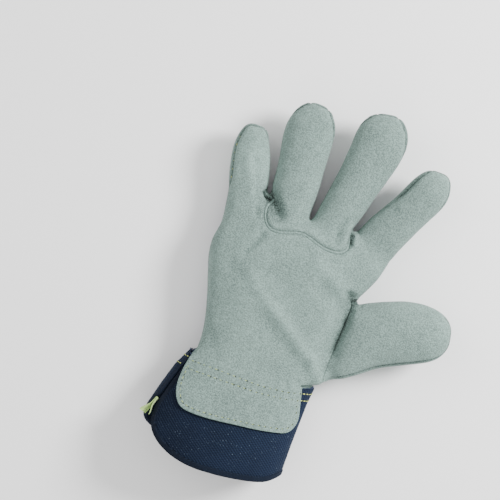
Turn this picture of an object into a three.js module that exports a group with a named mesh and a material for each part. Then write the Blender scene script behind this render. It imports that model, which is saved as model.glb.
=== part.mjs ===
// A leather palm work glove for the right hand, lying on its back with the palm up.
// Millimetres, +Z up out of the palm, +Y along the fingers, +X towards the thumb.
// The whole skin of the hand is one coarse cage of four-sided faces. Each face belongs to a
// sewn panel. The cage is subdivided once, set on its limit surface, and every panel is then
// cut out of it and given the thickness of its leather or cloth.
import * as THREE from "three";

// Driving sizes.
const LEATHER = 1.5; // thickness of the split leather
const DENIM = 1.1; // thickness of the back cloth
const CUFF_WALL = 1.8; // the cuff is two cloths bonded together
const STRAP = 1.5; // thickness of the knuckle strap
const SEAM_GAP = 0.42; // between two panels that are sewn edge to edge
const THUMB_SEAM_GAP = 0.5; // round the thumb's hole, where the skins bend the most
const WELT = 2.0; // width of the welt in the seam below the two middle fingers
const WELT_GAP = 0.45; // on each side of the welt
const WELT_SHORT = 0.85; // share of its last step that the welt stops short of a crotch
const WELT_ROUNDS = 2; // how often the seam of the welt is evened out
const LAY_GAP = 0.4; // between a piece and the one that it lies on
const BACK_Z = STRAP + LAY_GAP; // height of the back cloth over the surface that the strap lies on
const HEM = 4; // width of the turned hem of the cuff
const HEM_BULGE = 0.5; // how far the hem stands out on either side of the cuff's cloth

// A limit surface lies inside its cage. A ring of 6 or 8 points is drawn this much wider.
const RING_OUT = 48 / 46;

// Fingers, from the little finger to the index. Every row is a section across the finger:
// x and y of its middle, half its width, the height of its middle and half its depth. They
// start from the last of the root rows below.
const FINGERS = {
  little: {
    tipFrom: 1, // the leather cap on the back starts at this section
    sections: [
      { x: -35.4, y: 79, half: 14, z: 15.8, deep: 11.6 },
      { x: -37.8, y: 89, half: 14, z: 16.8, deep: 11.4 },
      { x: -39.8, y: 98.5, half: 12.8, z: 18.2, deep: 10.9 },
      { x: -40.4, y: 107, half: 10.4, z: 19.6, deep: 9.4 },
      { x: -40.2, y: 114.4, half: 6.6, z: 20.6, deep: 5.8 },
    ],
  },
  ring: {
    tipFrom: 3,
    sections: [
      { x: -2.3, y: 77, half: 16, z: 16.4, deep: 13 },
      { x: -2.6, y: 89, half: 16, z: 17.2, deep: 12.8 },
      { x: -3.2, y: 101, half: 16.4, z: 18.4, deep: 12.6 },
      { x: -4.2, y: 114, half: 17.9, z: 20.2, deep: 12.3 },
      { x: -4, y: 125.5, half: 17.2, z: 21.8, deep: 11.4 },
      { x: -3.2, y: 134.4, half: 13, z: 22.8, deep: 9 },
      { x: -2.8, y: 140.2, half: 6.6, z: 23.4, deep: 5.4 },
    ],
  },
  middle: {
    tipFrom: 3,
    sections: [
      { x: 32.4, y: 74.5, half: 14.4, z: 16.8, deep: 13.2 },
      { x: 36.8, y: 91, half: 15.4, z: 17.6, deep: 13 },
      { x: 41.4, y: 107.5, half: 16.8, z: 19, deep: 12.8 },
      { x: 44.2, y: 121, half: 18.2, z: 20.8, deep: 12.4 },
      { x: 45, y: 132.5, half: 18.7, z: 22.4, deep: 11.6 },
      { x: 44.6, y: 141.6, half: 14.4, z: 23.6, deep: 9.4 },
      { x: 44, y: 147.4, half: 7.4, z: 24.2, deep: 5.6 },
    ],
  },
  index: {
    tipFrom: 3,
    sections: [
      { x: 66.2, y: 67, half: 15.2, z: 17, deep: 12.8 },
      { x: 72.4, y: 78.5, half: 14.2, z: 18, deep: 12.6 },
      { x: 78.8, y: 89.4, half: 13.6, z: 19.4, deep: 12.4 },
      { x: 84.6, y: 98.6, half: 14.4, z: 21.2, deep: 12 },
      { x: 88.2, y: 107.4, half: 13.8, z: 22.8, deep: 11 },
      { x: 89.8, y: 115, half: 10.6, z: 23.8, deep: 8.4 },
      { x: 90, y: 119.8, half: 5.8, z: 24.2, deep: 5 },
    ],
  },
};
const FINGER_NAMES = Object.keys(FINGERS);

// The thumb leaves the side of the palm, so its sections lean, by these degrees from +Y to -X.
const THUMB = [
  { x: 64.2, y: -12.2, half: 29.4, lean: -5.4, z: 18.2, deep: 15.6 },
  { x: 79.2, y: -1.9, half: 23, lean: 12, z: 18.6, deep: 16.2 },
  { x: 92.8, y: 3.9, half: 22.4, lean: 13.6, z: 19.4, deep: 16.2 },
  { x: 106.2, y: 8.3, half: 21.4, lean: 14.4, z: 20.4, deep: 15.2 },
  { x: 118, y: 10.6, half: 18.6, lean: 11.8, z: 21.2, deep: 12.8 },
  { x: 126.2, y: 11.5, half: 13.8, lean: 8, z: 21.7, deep: 9.4 },
  { x: 130.6, y: 12, half: 6.6, lean: 8, z: 22, deep: 5.2 },
];

// Where the fingers rise from the palm, three rows as x and y of the left, the middle and the
// right of every finger. The first row is the seam below the ring and middle fingers, the last
// one is the crotches.
const ROOT_ROWS = [
  {
    little: [[-44.6, 45], [-32.6, 50], [-19, 50.6]],
    ring: [[-13.4, 49], [-2, 45.8], [10.6, 48.4]],
    middle: [[16.2, 48.8], [30, 45.8], [44.4, 46.6]],
    index: [[50, 43.6], [60.6, 41.4], [71, 37.6]],
    z: 16.6,
    deep: 15.8,
    valley: 1.4,
    backZ: BACK_Z,
  },
  {
    little: [[-46, 56], [-36, 59.4], [-27.4, 60]],
    ring: [[-23.6, 59], [-4, 56], [11.2, 56]],
    middle: [[15.8, 56], [31, 54], [50, 56]],
    index: [[53.6, 54.6], [62, 50.6], [73, 44]],
    z: 16.4,
    deep: 14.8,
    valley: 3.4,
    backZ: BACK_Z,
  },
  {
    little: [[-46.8, 67], [-34, 69], [-20.4, 72.6]],
    ring: [[-17.4, 72.2], [-2.4, 67], [12.2, 61.8]],
    middle: [[15.2, 61.8], [30.6, 62.4], [43.4, 64]],
    index: [[47, 63.4], [62, 57.6], [75.6, 51]],
    z: 16.4,
    deep: 13.8,
    valley: 5.6,
    backZ: BACK_Z,
  },
];

// Rows across the hand, from the wrist up. left and right are the x of the two sides, yLeft and
// yRight how far along they lie, bow how far the row's middle lies beyond them. z and deep are
// the middle height and half the depth. fan runs from 0, columns spaced evenly, to 1, columns
// under their fingers.
const PALM_ROWS = [
  { left: -36.8, right: 49.4, yLeft: -47.5, yRight: -47.5, bow: -1, z: 17.6, deep: 17.6, fan: 0 },
  { left: -34.4, right: 54.4, yLeft: -37, yRight: -44.4, bow: 0, z: 17.2, deep: 17.6, fan: 0.1 },
  { left: -37.4, right: 54.6, yLeft: -18, yRight: -20, bow: 0, z: 17, deep: 17.4, fan: 0.3 },
  { left: -42, right: 56.4, yLeft: 0, yRight: 0, bow: 0, z: 17.2, deep: 17.8, fan: 0.5 },
  { left: -47.2, right: 60.4, yLeft: 18, yRight: 18.6, bow: 1, z: 17.4, deep: 18, fan: 0.7 },
  { left: -48.4, right: 67, yLeft: 32, yRight: 28, bow: 2, z: 17, deep: 17.2, fan: 0.85 },
];
// The back has its own rows. share is how much of the row the cloth covers, the leather that
// comes round the thumb side covers the rest. z is the height of the row over the floor.
const BACK_ROWS = [
  { yLeft: -46, yRight: -47, bow: -1, share: 0.7, z: 2.6 },
  { yLeft: -36, yRight: -37, bow: 0, share: 0.68, z: 3.4 },
  { yLeft: -20, yRight: -20, bow: 0, share: 0.7, z: 3.4 },
  { yLeft: 0, yRight: 1, bow: 1, share: 0.78, z: BACK_Z },
  { yLeft: 14, yRight: 15, bow: 1, share: 0.82, z: BACK_Z },
  { yLeft: 27, yRight: 28, bow: 1, share: 0.83, z: BACK_Z },
];
const BACK_ROOT_DOWN = [6, 5, 0]; // how much nearer the wrist the three root rows lie on the back
const THUMB_FROM_ROW = 1; // the thumb's hole spans the rows from this one
const THUMB_TO_ROW = 4; // to this one
const STRAP_FROM_ROW = 3;
const STRAP_TO_ROW = 6;
const STRAP_BELOW = 6; // the strap's ends stop where the back turns up higher than this

// The main folds and dents of the palm side. Each one runs straight from one place to another,
// wide is how far it reaches to either side and rise how far its middle stands up, or sinks.
const FOLDS = [
  { name: "thumb_seam", fromX: 57, fromY: 17, toX: 53, toY: -28, wide: 6.5, rise: -2.2 },
  { name: "thumb_mound", fromX: 44, fromY: 6, toX: 43, toY: -16, wide: 10, rise: 1.1 },
  { name: "heel_ridge", fromX: -14, fromY: 12, toX: 42, toY: -31, wide: 8, rise: 1.2 },
  { name: "heel_valley", fromX: 1, fromY: -13, toX: 36, toY: -38, wide: 8, rise: -1.3 },
  { name: "index_ridge", fromX: 28, fromY: 34, toX: 53, toY: 20, wide: 7.5, rise: 1.4 },
  { name: "index_valley", fromX: 37, fromY: 20, toX: 52, toY: 8, wide: 7.5, rise: -1.3 },
  { name: "little_dimple", fromX: -14, fromY: 41, toX: -26, toY: 20, wide: 7, rise: -1.5 },
  { name: "palm_hollow", fromX: 6, fromY: 20, toX: 16, toY: 6, wide: 16, rise: -1.2 },
];

const FOLD_FADE = 2; // a fold fades to an eighth of its height at the distance wide
const FOLDS_END = -50; // the folds end above the cuff

// The leather tab runs on from the palm over the cuff. Its right end stops one column early.
const TAB_ROWS = [
  { y: -55, left: -38, right: 42.4, bow: -1 },
  { y: -65, left: -40.2, right: 44, bow: -1 },
  { y: -76, left: -40.8, right: 45.4, bow: -2 },
  { y: -86.4, left: -36, right: 42, bow: -4 },
];
// Round the back and the thumb side the hand ends under the cuff, at these y.
const BAND_ROWS = [-54, -62];
const SLOT_COLUMN = 10; // the cuff comes out over the leather at this column of the palm

// The cuff is one strip of cloth rolled into a tube, with a slit on the little-finger side.
// Every row is a section of the tube. slitFront and slitBack are the edges of the slit, in
// degrees from +X towards +Z.
const CUFF_ROWS = [
  { y: -46, left: -38.8, right: 51.4, high: 35.4, slitFront: 150, slitBack: 150.6 },
  { y: -60, left: -46.6, right: 49.2, high: 36.6, slitFront: 150.5, slitBack: 152 },
  { y: -75, left: -52, right: 48, high: 39.4, slitFront: 151, slitBack: 154.5 },
  { y: -90, left: -56.6, right: 46.8, high: 42, slitFront: 151.5, slitBack: 158 },
  { y: -106, left: -58.4, right: 46, high: 44, slitFront: 151.5, slitBack: 160 },
  { y: -125, left: -58.8, right: 45.4, high: 45, slitFront: 151.5, slitBack: 160 },
];
const CUFF_SQUARE = 2.25; // 2 is an ellipse, more is squarer
const CUFF_SINK = 0.04; // this share of the tube's height is pressed flat against the floor
// Around the cuff, as a share of its girth from the front edge of the slit: y of its upper edge
// and of the hem.
const CUFF_EDGES = [
  { at: 0, top: -54.5, hem: -123 },
  { at: 0.2, top: -54.5, hem: -124 },
  { at: 0.26, top: -54.5, hem: -123.6 },
  { at: 0.34, top: -54.5, hem: -121.6 },
  { at: 0.385, top: -51, hem: -119.4 },
  { at: 0.43, top: -49, hem: -113 },
  { at: 0.5, top: -48.4, hem: -112 },
  { at: 0.7, top: -48, hem: -113 },
  { at: 0.94, top: -48, hem: -109.5 },
  { at: 1, top: -52, hem: -108.5 },
];
const CORNER_ROUND = 46; // the corners by the slit are cut round: this far around the cuff
const CORNER_HIGH = 28; // and this far up
const CORNER_STEPS = 5;
const CUFF_STEPS = 28; // columns between the two round corners
const CUFF_RISE_STEPS = 6; // rows from the hem to the upper edge

const mix = (a, b, t) => a + (b - a) * t;
const signedPower = (v, p) => Math.sign(v) * Math.abs(v) ** p;

// The cage: points, and faces that name their four points and their panel.
class Cage {
  constructor() {
    this.points = [];
    this.faces = [];
  }

  point(x, y, z) {
    this.points.push(new THREE.Vector3(x, y, z));
    return this.points.length - 1;
  }

  face(panel, a, b, c, d) {
    const face = { panel, corners: [a, b, c, d] };
    this.faces.push(face);
    return face;
  }
}

// One section across a finger: left, middle and right on the front, then the same on the back.
function fingerRing(cage, section, across) {
  const { x, y, half, z, deep } = section;
  const place = (side, height) =>
    cage.point(
      x + across.x * side * half * RING_OUT,
      y + across.y * side * half * RING_OUT,
      z + height * deep,
    );
  const edge = 0.66;
  const crown = (3 - edge) / 2;
  return {
    front: [place(-1, edge), place(0, crown), place(1, edge)],
    back: [place(-1, -edge), place(0, -crown), place(1, -edge)],
  };
}

// The thumb is broader, so it has four points across the front and four across the back.
function thumbRing(cage, section, across) {
  const { x, y, half, z, deep } = section;
  const steps = [
    [1, 0.6],
    [0.36, 1.12],
    [-0.36, 1.12],
    [-1, 0.6],
  ];
  const place = (side, height) =>
    cage.point(
      x + across.x * side * half * RING_OUT,
      y + across.y * side * half * RING_OUT,
      z + height * deep,
    );
  return {
    front: steps.map(([side, height]) => place(side, height)),
    back: steps.map(([side, height]) => place(side, -height)),
  };
}

// The unit vector across a row of sections at one of them, to the right of its direction.
function acrossAt(sections, i) {
  const before = sections[Math.max(i - 1, 0)];
  const after = sections[Math.min(i + 1, sections.length - 1)];
  return new THREE.Vector2(after.y - before.y, before.x - after.x).normalize();
}

// Faces between two rings, on the front, the back and both sides. Where a panel is named for
// the upper half of a side, that half belongs to it.
function joinRings(cage, lower, upper, panels) {
  const last = lower.front.length - 1;
  for (let i = 0; i < last; i++) {
    cage.face(panels.front, lower.front[i], lower.front[i + 1], upper.front[i + 1], upper.front[i]);
    cage.face(panels.back, lower.back[i + 1], lower.back[i], upper.back[i], upper.back[i + 1]);
  }
  const right = [lower.front[last], lower.back[last], upper.back[last], upper.front[last]];
  cage.face(panels.right, ...right).upper = { panel: panels.rightUpper, corners: [0, 3] };
  const left = [lower.back[0], lower.front[0], upper.front[0], upper.back[0]];
  cage.face(panels.left, ...left).upper = { panel: panels.leftUpper, corners: [1, 2] };
}

function capRing(cage, ring, panel) {
  for (let i = 0; i < ring.front.length - 1; i++)
    cage.face(panel, ring.front[i], ring.front[i + 1], ring.back[i + 1], ring.back[i]);
}

// Which panel covers each side of each finger, below the leather cap and on it. The front comes
// round the upper half of most sides, so that the seams lie where the finger is widest. The cap
// of the little finger runs on down its outer side.
const FINGER_PANELS = {
  little: {
    front: "palm_leather",
    right: "fourchette_little_ring",
    rightUpper: "palm_leather",
    back: "back_denim",
    left: "fingertip_little",
  },
  ring: {
    front: "finger_fronts",
    right: "fourchette_ring_middle",
    rightUpper: "finger_fronts",
    back: "back_denim",
    left: "fourchette_little_ring",
    leftUpper: "finger_fronts",
  },
  middle: {
    front: "finger_fronts",
    right: "fourchette_middle_index",
    rightUpper: "finger_fronts",
    back: "back_denim",
    left: "fourchette_ring_middle",
    leftUpper: "finger_fronts",
  },
  index: {
    front: "palm_leather",
    right: "palm_leather",
    back: "palm_leather",
    left: "fourchette_middle_index",
  },
};
const TIP_PANELS = {
  little: "fingertip_little",
  ring: "fingertip_ring",
  middle: "fingertip_middle",
  index: "palm_leather",
};
const THUMB_PANELS = {
  front: "thumb_leather",
  back: "thumb_leather",
  left: "thumb_leather",
  right: "thumb_leather",
};

// Twelve columns run up the palm, three under each finger: left, middle and right.
const rootColumns = (row) => FINGER_NAMES.flatMap((finger) => row[finger]);
const BASE_COLUMNS = rootColumns(ROOT_ROWS[0]);
const LAST = BASE_COLUMNS.length - 1;
const COLUMN_SHARE = BASE_COLUMNS.map(
  ([x]) => (x - BASE_COLUMNS[0][0]) / (BASE_COLUMNS[LAST][0] - BASE_COLUMNS[0][0]),
);
const INDEX_COLUMN = 9; // the column at the left of the index finger

// Height of the palm's front across a row, as a share of its half depth. s runs from -1 to 1.
const palmCrown = (s) => 0.56 + 0.5 * (1 - Math.abs(s) ** 3);

// How much a column lies in the valley between two fingers, near the fingers.
const isValley = (c) => c % 3 !== 1 && c !== 0 && c !== LAST;

function buildHand() {
  const cage = new Cage();
  const front = [];
  const back = [];

  PALM_ROWS.forEach((row, r) => {
    const backRow = BACK_ROWS[r];
    const frontRow = [];
    const backPoints = [];
    for (let c = 0; c <= LAST; c++) {
      const share = mix(c / LAST, COLUMN_SHARE[c], row.fan);
      const s = 2 * share - 1;
      const y = mix(row.yLeft, row.yRight, share) + row.bow * (1 - s * s);
      frontRow.push(cage.point(mix(row.left, row.right, share), y, row.z + palmCrown(s) * row.deep));
      // On the back the cloth takes its share, and the leather round the thumb side the rest.
      const own =
        c <= INDEX_COLUMN
          ? (c / INDEX_COLUMN) * backRow.share
          : mix(backRow.share, 1, (c - INDEX_COLUMN) / (LAST - INDEX_COLUMN));
      const backY = mix(backRow.yLeft, backRow.yRight, own) + backRow.bow * (1 - (2 * own - 1) ** 2);
      const z = c === 0 || c === LAST ? row.z - 0.56 * row.deep : backRow.z;
      backPoints.push(cage.point(mix(row.left, row.right, own), backY, z));
    }
    front.push(frontRow);
    back.push(backPoints);
  });
  ROOT_ROWS.forEach((row, r) => {
    const columns = rootColumns(row);
    front.push(
      columns.map(([x, y], c) => {
        const s = 2 * COLUMN_SHARE[c] - 1;
        return cage.point(x, y, row.z + palmCrown(s) * row.deep - (isValley(c) ? row.valley : 0));
      }),
    );
    back.push(
      columns.map(([x, y], c) => {
        const edge = c === 0 || c === LAST;
        const z = edge ? row.z - 0.6 * row.deep : row.backZ + (isValley(c) ? row.valley * 0.6 : 0);
        return cage.point(x, y - BACK_ROOT_DOWN[r], z);
      }),
    );
  });
  const baseFront = front[front.length - 1];
  const baseBack = back[back.length - 1];

  const top = front.length - 1;
  for (let r = 0; r < top; r++) {
    for (let c = 0; c < LAST; c++) {
      const underFingers = r >= top - 2 && c >= 3 && c < 8;
      cage.face(
        underFingers ? "finger_fronts" : "palm_leather",
        front[r][c],
        front[r][c + 1],
        front[r + 1][c + 1],
        front[r + 1][c],
      );
      const onBack = c < INDEX_COLUMN ? "back_denim" : "palm_leather";
      const strapped = c < INDEX_COLUMN && r >= STRAP_FROM_ROW && r < STRAP_TO_ROW;
      const face = cage.face(onBack, back[r][c + 1], back[r][c], back[r + 1][c], back[r + 1][c + 1]);
      face.strapped = strapped;
    }
    const side = [back[r][0], front[r][0], front[r + 1][0], back[r + 1][0]];
    cage.face("back_denim", ...side).upper = { panel: "palm_leather", corners: [1, 2] };
    if (r < THUMB_FROM_ROW || r >= THUMB_TO_ROW)
      cage.face("palm_leather", front[r][LAST], back[r][LAST], back[r + 1][LAST], front[r + 1][LAST]);
  }

  // The crotch between two fingers belongs to the strip that runs up both of them.
  ["fourchette_little_ring", "fourchette_ring_middle", "fourchette_middle_index"].forEach((panel, i) => {
    const c = 3 * i + 2;
    const face = cage.face(panel, baseFront[c], baseFront[c + 1], baseBack[c + 1], baseBack[c]);
    if (panel === "fourchette_ring_middle") face.upper = { panel: "finger_fronts", corners: [0, 1] };
  });

  FINGER_NAMES.forEach((name, i) => {
    const { sections, tipFrom } = FINGERS[name];
    const own = (row) => row.slice(3 * i, 3 * i + 3);
    let lower = { front: own(baseFront), back: own(baseBack) };
    sections.forEach((section, s) => {
      const upper = fingerRing(cage, section, acrossAt(sections, s));
      const panels = { ...FINGER_PANELS[name] };
      if (s >= tipFrom) panels.back = TIP_PANELS[name];
      joinRings(cage, lower, upper, panels);
      lower = upper;
    });
    capRing(cage, lower, TIP_PANELS[name]);
  });

  const rows = [];
  for (let r = THUMB_TO_ROW; r >= THUMB_FROM_ROW; r--) rows.push(r);
  let lower = { front: rows.map((r) => front[r][LAST]), back: rows.map((r) => back[r][LAST]) };
  THUMB.forEach((section) => {
    const lean = THREE.MathUtils.degToRad(section.lean);
    const upper = thumbRing(cage, section, new THREE.Vector2(-Math.sin(lean), Math.cos(lean)));
    joinRings(cage, lower, upper, THUMB_PANELS);
    lower = upper;
  });
  capRing(cage, lower, "thumb_leather");

  // The tab goes on from the palm's lowest row as far as the slot.
  let above = front[0].slice(0, SLOT_COLUMN + 1);
  TAB_ROWS.forEach((row) => {
    const below = above.map((_, c) => {
      const share = c / SLOT_COLUMN;
      const x = mix(row.left, row.right, share);
      const y = row.y + row.bow * (1 - (2 * share - 1) ** 2);
      return onCuff(cage, x, cuffHeight(x, y), y, TAB_LAY);
    });
    for (let c = 0; c < SLOT_COLUMN; c++)
      cage.face("palm_leather", below[c], below[c + 1], above[c + 1], above[c]).zone = "tab";
    above = below;
  });

  // The rest of the hand's mouth goes on under the cuff: from the slot round the thumb side, the
  // back and the little-finger side.
  const mouth = [];
  for (let c = SLOT_COLUMN; c <= LAST; c++) mouth.push(front[0][c]);
  for (let c = LAST; c >= 0; c--) mouth.push(back[0][c]);
  mouth.push(front[0][0]);
  const leatherUntil = LAST - SLOT_COLUMN + 1 + (LAST - INDEX_COLUMN);
  mouth.slice(1, -1).forEach((v) => {
    const p = cage.points[v];
    const foot = nearestOnCuff(p.x, p.z, p.y);
    p.set(foot.x + foot.nx * BAND_LAY, p.y, foot.z + foot.nz * BAND_LAY);
  });
  above = mouth;
  BAND_ROWS.forEach((y) => {
    const below = mouth.map((v) => {
      const { x, z } = cage.points[v];
      return onCuff(cage, x, z, y, BAND_LAY);
    });
    for (let i = 0; i < mouth.length - 1; i++) {
      const panel = i < leatherUntil ? "palm_leather" : "back_denim";
      const face = cage.face(panel, below[i], below[i + 1], above[i + 1], above[i]);
      face.zone = "band";
      if (i === mouth.length - 2) face.upper = { panel: "palm_leather", corners: [1, 2] };
    }
    above = below;
  });
  return cage;
}

const TAB_LAY = LEATHER + LAY_GAP; // from the cuff's outside to the tab's outside
const BAND_LAY = -(CUFF_WALL + 2 * LAY_GAP); // from the cuff's outside to what lies under it

function onCuff(cage, x, z, y, lay) {
  const foot = nearestOnCuff(x, z, y);
  return cage.point(foot.x + foot.nx * lay, y, foot.z + foot.nz * lay);
}

// A row of a table with a growing or falling key, blended at a value of that key.
function blended(rows, key, value) {
  const way = Math.sign(rows[rows.length - 1][key] - rows[0][key]);
  let i = 0;
  while (i < rows.length - 2 && way * value > way * rows[i + 1][key]) i++;
  const t = THREE.MathUtils.clamp((value - rows[i][key]) / (rows[i + 1][key] - rows[i][key]), 0, 1);
  return Object.fromEntries(Object.keys(rows[0]).map((k) => [k, mix(rows[i][k], rows[i + 1][k], t)]));
}

// The tube's outside at a section y, from one edge of the slit round the front to the other.
const SECTION_STEPS = 160;
function cuffSection(y) {
  const { left, right, high, slitFront, slitBack } = blended(CUFF_ROWS, "y", y);
  const middle = (left + right) / 2;
  const half = (right - left) / 2;
  const centre = high * (0.5 - CUFF_SINK / 2);
  const rise = high * (0.5 + CUFF_SINK / 2);
  const points = [];
  for (let i = 0; i <= SECTION_STEPS; i++) {
    const degrees = slitFront - (360 - slitBack + slitFront) * (i / SECTION_STEPS);
    const angle = THREE.MathUtils.degToRad(degrees);
    const x = middle + half * signedPower(Math.cos(angle), 2 / CUFF_SQUARE);
    const z = Math.max(0, centre + rise * signedPower(Math.sin(angle), 2 / CUFF_SQUARE));
    points.push({ x, z });
  }
  return points;
}

function nearestOnCuff(x, z, y) {
  const points = cuffSection(y);
  let best = { far: Infinity };
  for (let i = 0; i < SECTION_STEPS; i++) {
    const a = points[i];
    const b = points[i + 1];
    const dx = b.x - a.x;
    const dz = b.z - a.z;
    const long = Math.hypot(dx, dz);
    if (long < 1e-6) continue;
    const t = THREE.MathUtils.clamp(((x - a.x) * dx + (z - a.z) * dz) / long ** 2, 0, 1);
    const far = Math.hypot(a.x + t * dx - x, a.z + t * dz - z);
    if (far < best.far) best = { far, x: a.x + t * dx, z: a.z + t * dz, nx: -dz / long, nz: dx / long };
  }
  return best;
}

function cuffHeight(x, y) {
  const points = cuffSection(y).filter(({ z }, i, all) => i < SECTION_STEPS * 0.45);
  let best = points[0];
  points.forEach((p) => {
    if (Math.abs(p.x - x) < Math.abs(best.x - x)) best = p;
  });
  return best.z;
}

// A point of the tube's outside, at a share of its girth at this section.
function cuffPoint(share, y) {
  const points = cuffSection(y);
  const lengths = [0];
  for (let i = 1; i < points.length; i++)
    lengths.push(lengths[i - 1] + Math.hypot(points[i].x - points[i - 1].x, points[i].z - points[i - 1].z));
  const wanted = share * lengths[SECTION_STEPS];
  let i = 0;
  while (i < SECTION_STEPS - 1 && lengths[i + 1] < wanted) i++;
  const t = (wanted - lengths[i]) / (lengths[i + 1] - lengths[i]);
  return { x: mix(points[i].x, points[i + 1].x, t), y, z: mix(points[i].z, points[i + 1].z, t) };
}

// The cuff's cloth laid flat: s runs around it in mm from the front edge of the slit, y along
// the hand. The hem follows the slit's front edge, the round corner, the mouth, the other
// corner and the slit's back edge.
const GIRTH = 246;

function buildCuff() {
  const hemAt = (s) => blended(CUFF_EDGES, "at", s / GIRTH).hem;
  const topAt = (s) => blended(CUFF_EDGES, "at", s / GIRTH).top;
  const outline = [];
  const edgeRows = CUFF_RISE_STEPS;
  for (let i = 0; i < edgeRows; i++) {
    const t = i / edgeRows;
    outline.push({ s: 0, y: mix(topAt(0), hemAt(0) + CORNER_HIGH, t) });
  }
  for (let i = 0; i <= CORNER_STEPS; i++) {
    const turn = (Math.PI / 2) * (i / CORNER_STEPS);
    const s = CORNER_ROUND * (1 - Math.cos(turn));
    outline.push({ s, y: hemAt(s) + CORNER_HIGH * (1 - Math.sin(turn)) });
  }
  for (let i = 1; i < CUFF_STEPS; i++) {
    const s = mix(CORNER_ROUND, GIRTH - CORNER_ROUND, i / CUFF_STEPS);
    outline.push({ s, y: hemAt(s) });
  }
  for (let i = CORNER_STEPS; i >= 0; i--) {
    const turn = (Math.PI / 2) * (i / CORNER_STEPS);
    const s = GIRTH - CORNER_ROUND * (1 - Math.cos(turn));
    outline.push({ s, y: hemAt(s) + CORNER_HIGH * (1 - Math.sin(turn)) });
  }
  for (let i = edgeRows - 1; i >= 0; i--) {
    const t = i / edgeRows;
    outline.push({ s: GIRTH, y: mix(topAt(GIRTH), hemAt(GIRTH) + CORNER_HIGH, t) });
  }
  // The inner line of the hem lies HEM inside the outline.
  const inner = outline.map(({ s, y }, i) => {
    const a = outline[Math.max(i - 1, 0)];
    const b = outline[Math.min(i + 1, outline.length - 1)];
    const long = Math.hypot(b.s - a.s, b.y - a.y);
    const flat = i === 0 || i === outline.length - 1;
    return { s: s - ((b.y - a.y) / long) * HEM, y: flat ? y : y + ((b.s - a.s) / long) * HEM };
  });

  const cage = new Cage();
  const put = ({ s, y }) => {
    const { x, z } = cuffPoint(s / GIRTH, y);
    return cage.point(x, y, z);
  };
  const outer = outline.map(put);
  const inside = inner.map(put);
  for (let i = 0; i < outline.length - 1; i++)
    cage.face("cuff_hem", outer[i], outer[i + 1], inside[i + 1], inside[i]);

  // Columns of the cloth rise from the inner line to the upper edge. The first and the last
  // column are the straight parts of the inner line.
  const first = edgeRows;
  const last = outline.length - 1 - edgeRows;
  const columns = [];
  for (let i = first; i <= last; i++) {
    if (i === first || i === last) {
      const column = [];
      for (let r = 0; r <= edgeRows; r++) column.push(inside[i === first ? first - r : last + r]);
      columns.push(column);
      continue;
    }
    const { s, y } = inner[i];
    const column = [inside[i]];
    for (let r = 1; r <= edgeRows; r++) column.push(put({ s, y: mix(y, topAt(s), r / edgeRows) }));
    columns.push(column);
  }
  for (let i = 0; i < columns.length - 1; i++)
    for (let r = 0; r < edgeRows; r++)
      cage.face("safety_cuff", columns[i][r], columns[i + 1][r], columns[i + 1][r + 1], columns[i][r + 1]);
  return cage;
}

// One step of Catmull-Clark subdivision. Panels pass to the four parts of each face.
function subdivide(cage) {
  const { points, faces } = cage;
  const made = new Cage();
  const edges = new Map();
  const key = (a, b) => (a < b ? `${a}_${b}` : `${b}_${a}`);
  const facePoint = faces.map(({ corners }) => {
    const middle = new THREE.Vector3();
    corners.forEach((v) => middle.addScaledVector(points[v], 0.25));
    return middle;
  });
  faces.forEach(({ corners }, f) =>
    corners.forEach((a, i) => {
      const b = corners[(i + 1) % 4];
      const k = key(a, b);
      if (!edges.has(k)) edges.set(k, { ends: [a, b], faces: [] });
      edges.get(k).faces.push(f);
    }),
  );
  const around = points.map(() => ({ faces: [], edges: [], rim: [] }));
  faces.forEach(({ corners }, f) => corners.forEach((v) => around[v].faces.push(f)));
  for (const edge of edges.values())
    edge.ends.forEach((v, i) => {
      around[v].edges.push(edge);
      if (edge.faces.length === 1) around[v].rim.push(edge.ends[1 - i]);
    });

  points.forEach((p, v) => {
    const near = around[v];
    const moved = new THREE.Vector3();
    if (near.rim.length) {
      moved.copy(p).multiplyScalar(0.75);
      near.rim.forEach((n) => moved.addScaledVector(points[n], 0.125));
    } else {
      const n = near.edges.length;
      near.faces.forEach((f) => moved.addScaledVector(facePoint[f], 1 / (n * n)));
      near.edges.forEach(({ ends }) => {
        const middle = points[ends[0]].clone().add(points[ends[1]]).multiplyScalar(0.5);
        moved.addScaledVector(middle, 2 / (n * n));
      });
      moved.addScaledVector(p, (n - 3) / n);
    }
    made.point(moved.x, moved.y, moved.z);
  });
  const middles = facePoint.map((m) => made.point(m.x, m.y, m.z));
  for (const edge of edges.values()) {
    const m = points[edge.ends[0]].clone().add(points[edge.ends[1]]).multiplyScalar(0.5);
    if (edge.faces.length === 2) {
      const inner = facePoint[edge.faces[0]].clone().add(facePoint[edge.faces[1]]).multiplyScalar(0.5);
      m.add(inner).multiplyScalar(0.5);
    }
    edge.middle = made.point(m.x, m.y, m.z);
  }
  faces.forEach(({ panel, corners, strapped, zone, upper }, f) =>
    corners.forEach((v, i) => {
      const next = edges.get(key(v, corners[(i + 1) % 4])).middle;
      const before = edges.get(key(corners[(i + 3) % 4], v)).middle;
      const own = upper?.panel && upper.corners.includes(i) ? upper.panel : panel;
      Object.assign(made.face(own, v, next, middles[f], before), { strapped, zone });
    }),
  );
  return made;
}

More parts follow.
